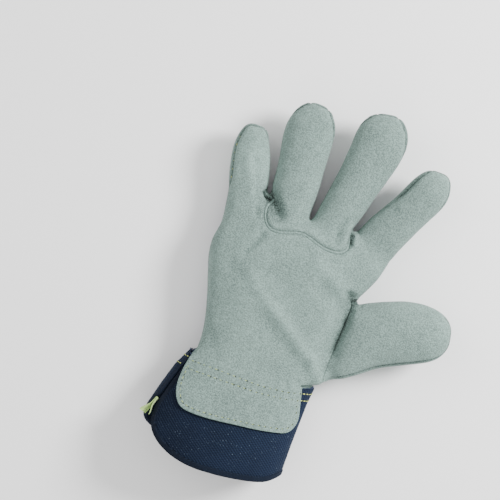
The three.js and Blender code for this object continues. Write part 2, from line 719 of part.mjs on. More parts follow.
// Moves every point of a subdivided cage to where endless subdivision would leave it.
function toLimit(cage) {
  const { points, faces } = cage;
  const sums = points.map(() => ({ near: new THREE.Vector3(), far: new THREE.Vector3(), count: 0 }));
  const rim = rimNeighbours(faces);
  faces.forEach(({ corners }) =>
    corners.forEach((v, i) => {
      sums[v].near.addScaledVector(points[corners[(i + 1) % 4]], 0.5);
      sums[v].near.addScaledVector(points[corners[(i + 3) % 4]], 0.5);
      sums[v].far.add(points[corners[(i + 2) % 4]]);
      sums[v].count += 1;
    }),
  );
  cage.points = points.map((p, v) => {
    if (rim.has(v)) {
      const limit = p.clone().multiplyScalar(4);
      rim.get(v).forEach((n) => limit.add(points[n]));
      return limit.multiplyScalar(1 / 6);
    }
    const { near, far, count: n } = sums[v];
    return p
      .clone()
      .multiplyScalar(n * n)
      .addScaledVector(near, 4)
      .add(far)
      .multiplyScalar(1 / (n * (n + 5)));
  });
  return cage;
}

// The two neighbours along the rim of every point on the rim of these faces.
function rimNeighbours(faces) {
  const seen = new Map();
  faces.forEach(({ corners }) =>
    corners.forEach((a, i) => {
      const b = corners[(i + 1) % 4];
      const k = a < b ? `${a}_${b}` : `${b}_${a}`;
      seen.set(k, seen.has(k) ? null : [a, b]);
    }),
  );
  const rim = new Map();
  for (const pair of seen.values()) {
    if (!pair) continue;
    const [a, b] = pair;
    if (!rim.has(a)) rim.set(a, []);
    if (!rim.has(b)) rim.set(b, []);
    rim.get(a).push(b);
    rim.get(b).push(a);
  }
  return rim;
}

// Unit normals at the points of a cage.
function normalsOf(cage) {
  const normals = cage.points.map(() => new THREE.Vector3());
  cage.faces.forEach(({ corners }) => {
    const [a, b, c, d] = corners.map((v) => cage.points[v]);
    const n = new THREE.Vector3().crossVectors(c.clone().sub(a), d.clone().sub(b));
    corners.forEach((v) => normals[v].add(n));
  });
  return normals.map((n) => n.normalize());
}

const pairKey = (a, b) => (a < b ? `${a}_${b}` : `${b}_${a}`);

// A closed solid from some faces of a cage: an outer skin, an inner skin and the rim between
// them. outside and inside are the heights of the two skins over the cage. pull says how far
// the rim draws back from the seam, at a pair of rim points.
function panelSolid(cage, normals, faces, { outside, inside, pull = () => SEAM_GAP / 2 }) {
  const { points } = cage;
  const rimEdges = new Map();
  faces.forEach(({ corners }) =>
    corners.forEach((a, i) => {
      const b = corners[(i + 1) % 4];
      const k = pairKey(a, b);
      if (rimEdges.has(k)) rimEdges.set(k, null);
      else rimEdges.set(k, { a, b, corners });
    }),
  );
  const shift = new Map();
  const rim = [...rimEdges.values()].filter(Boolean);
  rim.forEach(({ a, b, corners }) => {
    const middle = new THREE.Vector3();
    corners.forEach((v) => middle.addScaledVector(points[v], 0.25));
    const along = points[b].clone().sub(points[a]).normalize();
    const inward = middle.sub(points[a]);
    inward.addScaledVector(along, -inward.dot(along)).normalize();
    const by = pull(a, b);
    [a, b].forEach((v) => {
      if (!shift.has(v)) shift.set(v, []);
      shift.get(v).push({ inward, by });
    });
  });
  const moved = new Map();
  for (const [v, pulls] of shift) moved.set(v, mitre(pulls));

  const used = [...new Set(faces.flatMap(({ corners }) => corners))];
  const index = new Map(used.map((v, i) => [v, i]));
  const positions = [];
  for (const height of [outside, inside])
    used.forEach((v) => {
      const lift = typeof height === "function" ? height(points[v]) : height;
      const p = points[v].clone().addScaledVector(normals[v], lift);
      if (moved.has(v)) p.add(moved.get(v));
      positions.push(p.x, p.y, p.z);
    });
  const count = used.length;
  const triangles = [];
  faces.forEach(({ corners }) => {
    const [a, b, c, d] = corners.map((v) => index.get(v));
    triangles.push(a, b, c, a, c, d);
    triangles.push(count + a, count + c, count + b, count + a, count + d, count + c);
  });
  rim.forEach(({ a, b }) => {
    const i = index.get(a);
    const j = index.get(b);
    triangles.push(i, count + i, count + j, i, count + j, j);
  });
  return meshGeometry(positions, triangles);
}

// The move that draws a rim point back by the given distances from both of its rim edges.
function mitre(pulls) {
  const [a, b = a] = pulls;
  const cosine = a.inward.dot(b.inward);
  const sine = Math.max(cosine > 0 ? 0.19 : 0.35, 1 - cosine * cosine);
  if (cosine > 0.9) {
    const by = (a.by + b.by) / 2;
    return a.inward.clone().add(b.inward).multiplyScalar(by / 2);
  }
  return a.inward
    .clone()
    .multiplyScalar((a.by - b.by * cosine) / sine)
    .addScaledVector(b.inward, (b.by - a.by * cosine) / sine);
}

function meshGeometry(positions, triangles) {
  const geometry = new THREE.BufferGeometry();
  geometry.setAttribute("position", new THREE.Float32BufferAttribute(positions, 3));
  geometry.setIndex(triangles);
  geometry.computeVertexNormals();
  return geometry;
}

// The points of the seam between two panels, in order from one end to the other.
function seamPath(cage, panelA, panelB) {
  const owners = new Map();
  cage.faces.forEach(({ panel, corners }) =>
    corners.forEach((a, i) => {
      const k = pairKey(a, corners[(i + 1) % 4]);
      if (!owners.has(k)) owners.set(k, { ends: [a, corners[(i + 1) % 4]], panels: [] });
      owners.get(k).panels.push(panel);
    }),
  );
  const next = new Map();
  for (const { ends, panels } of owners.values()) {
    if (!(panels.includes(panelA) && panels.includes(panelB))) continue;
    ends.forEach((v, i) => {
      if (!next.has(v)) next.set(v, []);
      next.get(v).push(ends[1 - i]);
    });
  }
  const start = [...next.keys()].filter((v) => next.get(v).length === 1);
  start.sort((a, b) => cage.points[a].x - cage.points[b].x);
  const path = [start[0]];
  while (true) {
    const options = next.get(path[path.length - 1]).filter((v) => !path.includes(v));
    if (!options.length) return path;
    path.push(options[0]);
  }
}

// A strip of square section that lies along a path on the skin. Every step of the path has a
// point and the skin's normal there.
function stripAlong(path, { width, outside, inside }) {
  const positions = [];
  const triangles = [];
  path.forEach(({ point, normal }, i) => {
    const before = path[Math.max(i - 1, 0)].point;
    const after = path[Math.min(i + 1, path.length - 1)].point;
    const side = new THREE.Vector3().crossVectors(after.clone().sub(before), normal).normalize();
    const corner = (s, h) =>
      point.clone().addScaledVector(side, (s * width) / 2).addScaledVector(normal, h);
    [corner(-1, inside), corner(1, inside), corner(1, outside), corner(-1, outside)].forEach((p) =>
      positions.push(p.x, p.y, p.z),
    );
  });
  const steps = path.length - 1;
  for (let i = 0; i < steps; i++)
    for (let k = 0; k < 4; k++) {
      const a = 4 * i + k;
      const b = 4 * i + ((k + 1) % 4);
      triangles.push(a, b + 4, b, a, a + 4, b + 4);
    }
  triangles.push(0, 1, 2, 0, 2, 3);
  const e = 4 * steps;
  triangles.push(e, e + 2, e + 1, e, e + 3, e + 2);
  return meshGeometry(positions, triangles);
}

// The size label is a tape folded in two that stands in the slit. Its section is a thin V: x
// runs along the slit, y across it and z out of the tube.
const LABEL = { long: 13.5, thick: 0.55, open: 4.4, high: 6.4 };

function labelGeometry() {
  const { long, thick, open, high } = LABEL;
  const fold = long * 0.4;
  const shape = new THREE.Shape();
  shape.moveTo(0, -thick);
  shape.lineTo(fold, -thick);
  shape.lineTo(long, -open / 2 - thick / 2);
  shape.lineTo(long, -open / 2 + thick / 2);
  shape.lineTo(fold + 1, 0);
  shape.lineTo(long * 0.92, open / 2 - thick / 2);
  shape.lineTo(long * 0.92, open / 2 + thick / 2);
  shape.lineTo(fold, thick);
  shape.lineTo(0, thick);
  shape.closePath();
  const geometry = new THREE.ExtrudeGeometry(shape, { depth: high, bevelEnabled: false });
  geometry.translate(0, 0, -high / 2);
  return geometry;
}
const LABEL_AT = new THREE.Vector3(-51.3, -85.8, 30.8);
const LABEL_ALONG = new THREE.Vector3(-0.36, -0.93, 0.06);
const LABEL_OUT = new THREE.Vector3(-0.2, 0.06, 0.98);

// Materials.
const finish = (color, roughness) => new THREE.MeshStandardMaterial({ color, roughness, metalness: 0 });
const SUEDE = 0xa6b5ad;
const PALE_SUEDE = 0xb9c6be;
const DENIM_BLUE = 0x2a3a5e;
const CUFF_BLUE = 0x1f2c45;
const TAPE_GREEN = 0x9fbf5a;

const PANELS = {
  palm_leather: { color: SUEDE, wall: LEATHER },
  finger_fronts: { color: SUEDE, wall: LEATHER },
  thumb_leather: { color: SUEDE, wall: LEATHER },
  fourchette_little_ring: { color: SUEDE, wall: LEATHER },
  fourchette_ring_middle: { color: SUEDE, wall: LEATHER },
  fourchette_middle_index: { color: SUEDE, wall: LEATHER },
  fingertip_little: { color: PALE_SUEDE, wall: LEATHER },
  fingertip_ring: { color: PALE_SUEDE, wall: LEATHER },
  fingertip_middle: { color: PALE_SUEDE, wall: LEATHER },
  back_denim: { color: DENIM_BLUE, wall: DENIM },
};

const glove = new THREE.Group();

function addMesh(name, geometry, color, roughness = 0.92) {
  const mesh = new THREE.Mesh(geometry, finish(color, roughness));
  mesh.name = name;
  glove.add(mesh);
  return mesh;
}

const hand = toLimit(subdivide(buildHand()));

// The seam below the two middle fingers turns its corners in a curve.
const weltPath = seamPath(hand, "palm_leather", "finger_fronts");
for (let round = 0; round < WELT_ROUNDS; round++) {
  const before = weltPath.map((v) => hand.points[v].clone());
  for (let i = 1; i < weltPath.length - 1; i++) {
    const beside = before[i - 1].clone().add(before[i + 1]).multiplyScalar(0.5);
    hand.points[weltPath[i]].lerp(beside, 0.5);
  }
}

// What lies over or under the cuff is laid on it exactly, fading in from the wrist down.
const zones = new Map();
hand.faces.forEach(({ zone, corners }) => {
  if (zone) corners.forEach((v) => zones.set(v, zone));
});
for (const [v, zone] of zones) {
  const p = hand.points[v];
  const lay = zone === "tab" ? TAB_LAY : BAND_LAY;
  const full = zone === "tab" ? THREE.MathUtils.smoothstep(-p.y, 49, 53) : p.y < -46 ? 1 : 0;
  const foot = nearestOnCuff(p.x, p.z, p.y);
  p.x = mix(p.x, foot.x + foot.nx * lay, full);
  p.z = mix(p.z, foot.z + foot.nz * lay, full);
}

// How far the folds lift a point of the palm side.
function foldRise({ x, y }) {
  let sum = 0;
  FOLDS.forEach(({ fromX, fromY, toX, toY, wide, rise }) => {
    const start = new THREE.Vector2(fromX, fromY);
    const way = new THREE.Vector2(toX, toY).sub(start);
    const from = new THREE.Vector2(x, y).sub(start);
    const t = THREE.MathUtils.clamp(from.dot(way) / way.lengthSq(), 0, 1);
    const far = from.addScaledVector(way, -t).length();
    sum += rise * Math.exp(-((far / wide) ** 2) * FOLD_FADE);
  });
  return sum * THREE.MathUtils.smoothstep(y, FOLDS_END, FOLDS_END + 12);
}
normalsOf(hand).forEach((normal, v) => {
  const facing = THREE.MathUtils.smoothstep(normal.z, 0.15, 0.6);
  if (facing > 0) hand.points[v].addScaledVector(normal, facing * foldRise(hand.points[v]));
});
const handNormals = normalsOf(hand);
const pointsOf = (name) =>
  new Set(hand.faces.filter(({ panel }) => panel === name).flatMap(({ corners }) => corners));

const onWelt = new Set(weltPath);
const thumbPoints = pointsOf("thumb_leather");
const pullAt = (a, b) => {
  if (onWelt.has(a) && onWelt.has(b)) return WELT / 2 + WELT_GAP;
  return thumbPoints.has(a) && thumbPoints.has(b) ? THUMB_SEAM_GAP / 2 : SEAM_GAP / 2;
};

for (const [name, { color, wall }] of Object.entries(PANELS)) {
  const faces = hand.faces.filter(({ panel }) => panel === name);
  addMesh(name, panelSolid(hand, handNormals, faces, { outside: 0, inside: -wall, pull: pullAt }), color);
}

const heightOf = ({ corners }) => corners.reduce((sum, v) => sum + hand.points[v].z, 0) / 4;
const strapFaces = hand.faces.filter((face) => face.strapped && heightOf(face) < STRAP_BELOW);
const strap = { outside: LAY_GAP + STRAP, inside: LAY_GAP };
addMesh("knuckle_strap", panelSolid(hand, handNormals, strapFaces, strap), PALE_SUEDE);

const weltSteps = weltPath.map((v) => ({ point: hand.points[v].clone(), normal: handNormals[v] }));
// It ends just short of the crotches.
const weltEnd = weltSteps.length - 1;
weltSteps[0].point.lerp(hand.points[weltPath[1]], WELT_SHORT);
weltSteps[weltEnd].point.lerp(hand.points[weltPath[weltEnd - 1]], WELT_SHORT);
const welt = { width: WELT, outside: 0.5, inside: -LEATHER };
addMesh("gunn_welt", stripAlong(weltSteps, welt), SUEDE);

const cuff = buildCuff();
const cuffNormals = normalsOf(cuff);
const cuffCloth = { outside: 0, inside: -CUFF_WALL };
// The hem is thick, but not where it lies under the tab or on the floor.
const { smoothstep } = THREE.MathUtils;
const hemBulge = (p) => HEM_BULGE * smoothstep(-p.y, 76, 86) * smoothstep(p.z, 1, 9);
const hemCloth = { outside: hemBulge, inside: (p) => -CUFF_WALL - hemBulge(p) };
const cuffFaces = (name) => cuff.faces.filter(({ panel }) => panel === name);
addMesh("safety_cuff", panelSolid(cuff, cuffNormals, cuffFaces("safety_cuff"), cuffCloth), CUFF_BLUE);
addMesh("cuff_hem", panelSolid(cuff, cuffNormals, cuffFaces("cuff_hem"), hemCloth), CUFF_BLUE);

const label = addMesh("size_label", labelGeometry(), TAPE_GREEN);
const along = LABEL_ALONG.clone().normalize();
const acrossSlit = new THREE.Vector3().crossVectors(LABEL_OUT, along).normalize();
const outOfSlit = new THREE.Vector3().crossVectors(along, acrossSlit);
label.quaternion.setFromRotationMatrix(new THREE.Matrix4().makeBasis(along, acrossSlit, outOfSlit));
label.position.copy(LABEL_AT);

// The glove stands on the floor, with the middle of its outline over the origin.
glove.updateMatrixWorld(true);
const outline = new THREE.Box3().setFromObject(glove, true);
const middle = outline.getCenter(new THREE.Vector3());
glove.position.set(-middle.x, -middle.y, -outline.min.z);

export default glove;
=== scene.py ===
# %% [markdown]
# # A leather palm work glove
# The glove is a bag of sewn panels: split leather on the palm side, cotton twill on the back,
# and a stiff cuff rolled from one strip of twill. It lies on its back with the palm up.
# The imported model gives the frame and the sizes, and this script dresses every panel.

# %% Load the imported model
import math
from collections import namedtuple

import bpy
import numpy as np
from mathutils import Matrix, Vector, noise
from mathutils.bvhtree import BVHTree
from mathutils.kdtree import KDTree


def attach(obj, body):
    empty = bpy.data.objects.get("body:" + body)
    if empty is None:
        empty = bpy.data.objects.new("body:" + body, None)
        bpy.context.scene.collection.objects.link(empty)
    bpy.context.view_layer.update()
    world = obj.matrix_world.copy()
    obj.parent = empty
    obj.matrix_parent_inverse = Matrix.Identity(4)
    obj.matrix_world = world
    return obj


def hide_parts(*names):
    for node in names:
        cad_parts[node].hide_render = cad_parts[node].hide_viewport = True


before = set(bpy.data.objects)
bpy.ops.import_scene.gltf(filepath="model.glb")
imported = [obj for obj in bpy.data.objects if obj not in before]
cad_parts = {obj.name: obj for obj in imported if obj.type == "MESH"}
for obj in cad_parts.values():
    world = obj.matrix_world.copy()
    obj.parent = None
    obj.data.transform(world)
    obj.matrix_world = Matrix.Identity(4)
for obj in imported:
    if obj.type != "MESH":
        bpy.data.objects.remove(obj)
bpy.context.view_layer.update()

# %% [markdown]
# ## The pattern's own units
# A glove cutter works in millimetres with the hand laid straight, so the tables below do too.
# One function takes a place from the pattern to the frame, in metres.

# %% Millimetres of the pattern to metres of the frame
MM = 0.001
OUTLINE_MIDDLE = (36.014, 11.792)  # the middle of the glove's outline, in the pattern's mm


def to_frame(points):
    """Pattern places in mm, as an array of rows, become places in the frame in metres."""
    points = np.array(points, dtype=float)
    return (points - (*OUTLINE_MIDDLE, 0)) * MM


def lerp(a, b, t):
    return a + (b - a) * t


def smooth(t):
    """Rises gently from 0 to 1 while t goes from 0 to 1."""
    t = np.clip(t, 0, 1)
    return t * t * (3 - 2 * t)


def ramp(value, start, over):
    """0 up to a start and 1 beyond a stretch after it; a stretch below 0 runs the other way."""
    return smooth((value - start) / over)


def hump(far, wide):
    """1 in the middle of a soft hump, and next to nothing twice its width away."""
    return np.exp(-((far / wide) ** 2))


def unit(vectors):
    return vectors / np.maximum(np.linalg.norm(vectors, axis=-1, keepdims=True), 1e-12)


def rounded(line, times):
    """A line whose inner places are evened out with their neighbours, again and again."""
    line = np.array(line, dtype=float)
    for _ in range(times):
        line[1:-1] = (line[:-2] + 2 * line[1:-1] + line[2:]) / 4
    return line


def run_of(path):
    """How far along a path each of its places is."""
    return np.concatenate([[0], np.cumsum(np.linalg.norm(np.diff(path, axis=0), axis=1))])


def pair(a, b):
    """The two ends of an edge, in the same order from both of its faces."""
    return min(a, b), max(a, b)


# %% [markdown]
# ## The walls and the seams
# The leather is a split hide 1.5 mm thick, and the cloth is thinner. Where two panels are sewn
# together, both edges turn in, so a seam shows as a thin dark line between two rounded edges.

# %% Sizes of the walls and the seams, in mm
LEATHER = 1.5
DENIM = 1.1
CUFF_WALL = 1.8
STRAP = 1.5
SEAM_GAP = 0.3  # between the two edges of a seam
THUMB_SEAM_GAP = 0.36
WELT = 1.9
WELT_GAP = 0.12
LAY_GAP = 0.4  # between a piece and the one that it lies on
BACK_Z = STRAP + LAY_GAP
TURN_IN = 1.0  # how wide the round edge of a turned-in seam is
CUT_EDGE = 0.35  # and how wide that of a cut edge is

# %% [markdown]
# ## The hand as a cage
# A glove blown up by a hand has no flat face and no sharp corner. A coarse cage of four-sided
# faces, smoothed by subdivision, gives just that, and each face can belong to a panel. Lofting
# every finger on its own would be simpler, but the crotches would then need hand-made joins.
# Sections across the fingers carry the shape: their middle, half width, height and half depth.

# %% Tables of the fingers and the thumb
Section = namedtuple("Section", "x y half z deep")
FINGERS = {
    "little": [
        Section(-35.4, 79, 14, 15.8, 11.6),
        Section(-37.8, 89, 14, 16.8, 11.4),
        Section(-39.8, 98.5, 12.8, 18.2, 10.9),
        Section(-40.4, 107, 10.4, 19.6, 9.4),
        Section(-40.2, 114.4, 6.6, 20.6, 5.8),
    ],
    "ring": [
        Section(-2.3, 77, 16, 16.4, 13),
        Section(-2.6, 89, 16, 17.2, 12.8),
        Section(-3.2, 101, 16.4, 18.4, 12.6),
        Section(-4.2, 114, 17.9, 20.2, 12.3),
        Section(-4, 125.5, 17.2, 21.8, 11.4),
        Section(-3.2, 134.4, 13, 22.8, 9),
        Section(-2.8, 140.2, 6.6, 23.4, 5.4),
    ],
    "middle": [
        Section(32.4, 74.5, 14.4, 16.8, 13.2),
        Section(36.8, 91, 15.4, 17.6, 13),
        Section(41.4, 107.5, 16.8, 19, 12.8),
        Section(44.2, 121, 18.2, 20.8, 12.4),
        Section(45, 132.5, 18.7, 22.4, 11.6),
        Section(44.6, 141.6, 14.4, 23.6, 9.4),
        Section(44, 147.4, 7.4, 24.2, 5.6),
    ],
    "index": [
        Section(66.2, 67, 15.2, 17, 12.8),
        Section(72.4, 78.5, 14.2, 18, 12.6),
        Section(78.8, 89.4, 13.6, 19.4, 12.4),
        Section(84.6, 98.6, 14.4, 21.2, 12),
        Section(88.2, 107.4, 13.8, 22.8, 11),
        Section(89.8, 115, 10.6, 23.8, 8.4),
        Section(90, 119.8, 5.8, 24.2, 5),
    ],
}
TIP_FROM = {"little": 1, "ring": 3, "middle": 3, "index": 3}  # where the cap on the back starts

# The thumb's sections lean, by these degrees from +Y towards -X.
ThumbSection = namedtuple("ThumbSection", "x y half lean z deep")
THUMB = [
    ThumbSection(64.2, -12.2, 29.4, -5.4, 18.2, 15.6),
    ThumbSection(79.2, -1.9, 23, 12, 18.6, 16.2),
    ThumbSection(92.8, 3.9, 22.4, 13.6, 19.4, 16.2),
    ThumbSection(106.2, 8.3, 21.4, 14.4, 20.4, 15.2),
    ThumbSection(118, 10.6, 18.6, 11.8, 21.2, 12.8),
    ThumbSection(126.2, 11.5, 13.8, 8, 21.7, 9.4),
    ThumbSection(130.6, 12, 6.6, 8, 22, 5.2),
]
RING_OUT = 48 / 46  # a ring of few points is drawn this much wider, as its limit lies inside it

# %% [markdown]
# The palm has twelve columns, three under each finger, and rows from the wrist to the crotches.
# The back has its own rows, because it lies flat on the floor on the knuckle strap.

# %% Tables of the palm, the back and the tab
RootRow = namedtuple("RootRow", "little ring middle index z deep valley")
ROOT_ROWS = [
    RootRow(
        [(-44.6, 45), (-32.6, 50), (-19, 50.6)],
        [(-13.4, 49), (-2, 45.8), (10.6, 48.4)],
        [(16.2, 48.8), (30, 45.8), (44.4, 46.6)],
        [(50, 43.6), (60.6, 41.4), (71, 37.6)],
        16.6, 15.8, 1.4,
    ),
    RootRow(
        [(-46, 56), (-36, 59.4), (-27.4, 60)],
        [(-23.6, 59), (-4, 56), (11.2, 56)],
        [(15.8, 56), (31, 54), (50, 56)],
        [(53.6, 54.6), (62, 50.6), (73, 44)],
        16.4, 14.8, 3.4,
    ),
    RootRow(
        [(-46.8, 67), (-34, 69), (-20.4, 72.6)],
        [(-17.4, 72.2), (-2.4, 67), (12.2, 61.8)],
        [(15.2, 61.8), (30.6, 62.4), (43.4, 64)],
        [(47, 63.4), (62, 57.6), (75.6, 51)],
        16.4, 13.8, 5.6,
    ),
]
PalmRow = namedtuple("PalmRow", "left right y_left y_right bow z deep fan")
PALM_ROWS = [
    PalmRow(-36.8, 49.4, -47.5, -47.5, -1, 17.6, 17.6, 0),
    PalmRow(-34.4, 54.4, -37, -44.4, 0, 17.2, 17.6, 0.1),
    PalmRow(-37.4, 54.6, -18, -20, 0, 17, 17.4, 0.3),
    PalmRow(-42, 56.4, 0, 0, 0, 17.2, 17.8, 0.5),
    PalmRow(-47.2, 60.4, 18, 18.6, 1, 17.4, 18, 0.7),
    PalmRow(-48.4, 67, 32, 28, 2, 17, 17.2, 0.85),
]
BackRow = namedtuple("BackRow", "y_left y_right bow share z")
BACK_ROWS = [
    BackRow(-46, -47, -1, 0.7, 2.6),
    BackRow(-36, -37, 0, 0.68, 3.4),
    BackRow(-20, -20, 0, 0.7, 3.4),
    BackRow(0, 1, 1, 0.78, BACK_Z),
    BackRow(14, 15, 1, 0.82, BACK_Z),
    BackRow(27, 28, 1, 0.83, BACK_Z),
]
BACK_ROOT_DOWN = (6, 5, 0)  # how far the back's rows at the roots lie below those in front
THUMB_FROM_ROW, THUMB_TO_ROW = 1, 4
STRAP_FROM_ROW, STRAP_TO_ROW = 3, 6
STRAP_BELOW = 6  # the strap covers only what lies lower than this
TabRow = namedtuple("TabRow", "y left right bow")
TAB_ROWS = [
    TabRow(-55, -38, 42.4, -1),
    TabRow(-65, -40.2, 44, -1),
    TabRow(-76, -40.8, 45.4, -2),
    TabRow(-86.4, -36, 42, -4),
]
BAND_ROWS = (-54, -62)
SLOT_COLUMN = 10  # the tab ends here
LAST_COLUMN = 11
INDEX_COLUMN = 9  # the index finger starts here
FRONTS_COLUMNS = range(3, 8)  # the ring and middle fingers
FRONTS_ROWS = 2  # how many rows of the palm their leather takes in
EDGE_DEEP = 0.56  # share of the depth that is left at the palm's two edges
ROOT_EDGE_DEEP = 0.6

# %% [markdown]
# ## The cuff's tube
# The cuff is one strip rolled into a tube, open at a slit on the little-finger side. Sections
# across it are rounded boxes pressed flat on the floor. The leather tab lies on this surface,
# and the end of the hand lies under it, so the tube comes first.

# %% The cuff's surface
CuffRow = namedtuple("CuffRow", "y left right high slit_front slit_back")
CUFF_ROWS = [
    CuffRow(-46, -38.8, 51.4, 35.4, 150, 150.6),
    CuffRow(-60, -46.6, 49.2, 36.6, 150.5, 152),
    CuffRow(-75, -52, 48, 39.4, 151, 154.5),
    CuffRow(-90, -56.6, 46.8, 42, 151.5, 158),
    CuffRow(-106, -58.4, 46, 44, 151.5, 160),
    CuffRow(-125, -58.8, 45.4, 45, 151.5, 160),
]
CUFF_SQUARE = 2.25  # 2 is an ellipse, and more is squarer
CUFF_SINK = 0.04  # share of the height that the floor cuts off below
SECTION_STEPS = 160
UPPER_STEPS = int(SECTION_STEPS * 0.45)  # those that surely lie on the upper side


def blended(rows, key, value):
    """The columns of a table at a value of its key, as an array for every value."""
    keys = np.array([getattr(row, key) for row in rows], dtype=float)
    order = np.argsort(keys)
    made = [np.interp(value, keys[order], np.array([row[i] for row in rows])[order])
            for i in range(len(rows[0]))]
    return type(rows[0])(*made)


def cuff_section(y):
    """x and z of the tube's outside, a row of them for every y."""
    row = blended(CUFF_ROWS, "y", np.asarray(y, dtype=float)[:, None])
    step = np.arange(SECTION_STEPS + 1)[None, :] / SECTION_STEPS
    angle = np.radians(row.slit_front - (360 - row.slit_back + row.slit_front) * step)
    power = 2 / CUFF_SQUARE
    across = np.sign(np.cos(angle)) * np.abs(np.cos(angle)) ** power
    up = np.sign(np.sin(angle)) * np.abs(np.sin(angle)) ** power
    x = (row.left + row.right) / 2 + (row.right - row.left) / 2 * across
    z = np.maximum(0, row.high * (0.5 - CUFF_SINK / 2) + row.high * (0.5 + CUFF_SINK / 2) * up)
    return x, z


def foot_on_cuff(x, z, y):
    """The nearest place of the tube's outside in the same section, with its normal."""
    sx, sz = cuff_section(y)
    ax, az, bx, bz = sx[:, :-1], sz[:, :-1], sx[:, 1:], sz[:, 1:]
    dx, dz = bx - ax, bz - az
    long2 = np.maximum(dx * dx + dz * dz, 1e-12)
    t = np.clip(((x[:, None] - ax) * dx + (z[:, None] - az) * dz) / long2, 0, 1)
    fx, fz = ax + t * dx, az + t * dz
    far = np.hypot(fx - x[:, None], fz - z[:, None])
    far[long2 < 1e-8] = np.inf
    best = far.argmin(axis=1)
    pick = (np.arange(len(best)), best)
    long = np.sqrt(long2[pick])
    return fx[pick], fz[pick], -dz[pick] / long, dx[pick] / long


def cuff_height(x, y):
    """Height of the tube's upper side over one place."""
    sx, sz = cuff_section([y])
    return sz[0, np.abs(sx[0, :UPPER_STEPS] - x).argmin()]


TAB_LAY = LEATHER + LAY_GAP
BAND_LAY = -(CUFF_WALL + 2 * LAY_GAP)


def laid_on_cuff(places, lay):
    """The same places, brought to this height over the tube."""
    x, y, z = np.array(places, dtype=float).T
    fx, fz, nx, nz = foot_on_cuff(x, z, y)
    return np.stack([fx + nx * lay, y, fz + nz * lay], axis=1)


def cuff_normals(places):
    """The directions away from the tube at places on it."""
    x, y, z = places.T
    _, _, nx, nz = foot_on_cuff(x, z, y)
    return np.stack([nx, 0 * nx, nz], axis=1)


print("cuff section at its mouth is", round(np.ptp(cuff_section([-120])[0]), 1), "mm wide")

# %% [markdown]
# ## Building the cage
# Every face names its panel, so that the smoothed skin can be cut apart along the real seams. On
# the sides of the fingers the seam runs lower than the edge of the front faces, so a side face
# also names the panel in front, and how far that one comes down is settled on the smoothed skin.

# %% The cage and its rings
PANELS = (
    "palm_leather",
    "finger_fronts",
    "thumb_leather",
    "fourchette_little_ring",
    "fourchette_ring_middle",
    "fourchette_middle_index",
    "fingertip_little",
    "fingertip_ring",
    "fingertip_middle",
    "back_denim",
    "thumb_back",
    "index_back",
)
PART_OF = {"thumb_back": "thumb_leather", "index_back": "palm_leather"}  # leather round an edge
ZONES = ("skin", "tab", "band", "strap")


class Cage:
    """Points in pattern mm, and faces that name their corners, panel, zone and front panel."""

    def __init__(self):
        self.points = []
        self.faces = []
        self.owners = []
        self.uppers = []
        self.in_front = set()

    def point(self, x, y, z):
        self.points.append([x, y, z])
        return len(self.points) - 1

    def face(self, panel, corners, zone="skin", upper=None):
        self.faces.append(corners)
        self.owners.append(PANELS.index(panel) * len(ZONES) + ZONES.index(zone))
        self.uppers.append(PANELS.index(upper or panel))


def ring(cage, section, across, steps):
    """A ring of points round a section, the front ones and then the same on the back."""
    sides = []
    for sign in (1, -1):
        row = []
        for side, height in steps:
            reach = side * section.half * RING_OUT
            row.append(cage.point(
                section.x + across[0] * reach,
                section.y + across[1] * reach,
                section.z + sign * height * section.deep,
            ))
        sides.append(row)
    cage.in_front.update(sides[0])
    return sides


# Points across the front of a ring: how far out in half widths, and how high in half depths.
FINGER_STEPS = ((-1, 0.66), (0, 1.17), (1, 0.66))
THUMB_STEPS = ((1, 0.6), (0.36, 1.12), (-0.36, 1.12), (-1, 0.6))


def across_at(sections, i):
    """The unit vector across a row of sections, to the right of its direction."""
    before, after = sections[max(i - 1, 0)], sections[min(i + 1, len(sections) - 1)]
    way = Vector((after.y - before.y, before.x - after.x)).normalized()
    return way.x, way.y


def join_rings(cage, lower, upper, front, back, left, right):
    """The faces between two rings, of the panels on their four sides."""
    for i in range(len(lower[0]) - 1):
        cage.face(front, (lower[0][i], lower[0][i + 1], upper[0][i + 1], upper[0][i]))
        cage.face(back, (lower[1][i + 1], lower[1][i], upper[1][i], upper[1][i + 1]))
    cage.face(right, (lower[0][-1], lower[1][-1], upper[1][-1], upper[0][-1]), upper=front)
    cage.face(left, (lower[1][0], lower[0][0], upper[0][0], upper[1][0]), upper=front)


def cap_ring(cage, rows, panel, upper):
    """The faces that close the last ring."""
    front, back = rows
    for i in range(len(front) - 1):
        cage.face(panel, (front[i], front[i + 1], back[i + 1], back[i]), upper=upper)


# %% The palm, the back and the roots of the fingers
def root_columns(row):
    return row.little + row.ring + row.middle + row.index


BASE = root_columns(ROOT_ROWS[0])
COLUMN_SHARE = [(x - BASE[0][0]) / (BASE[-1][0] - BASE[0][0]) for x, _ in BASE]


def palm_crown(s):
    """Height over the palm's middle plane, as a share of its depth; s runs from -1 to 1 across."""
    return EDGE_DEEP + 0.5 * (1 - abs(s) ** 3)


def is_valley(c):
    """Whether a column runs up to the crotch beside a finger."""
    return c % 3 != 1 and c not in (0, LAST_COLUMN)


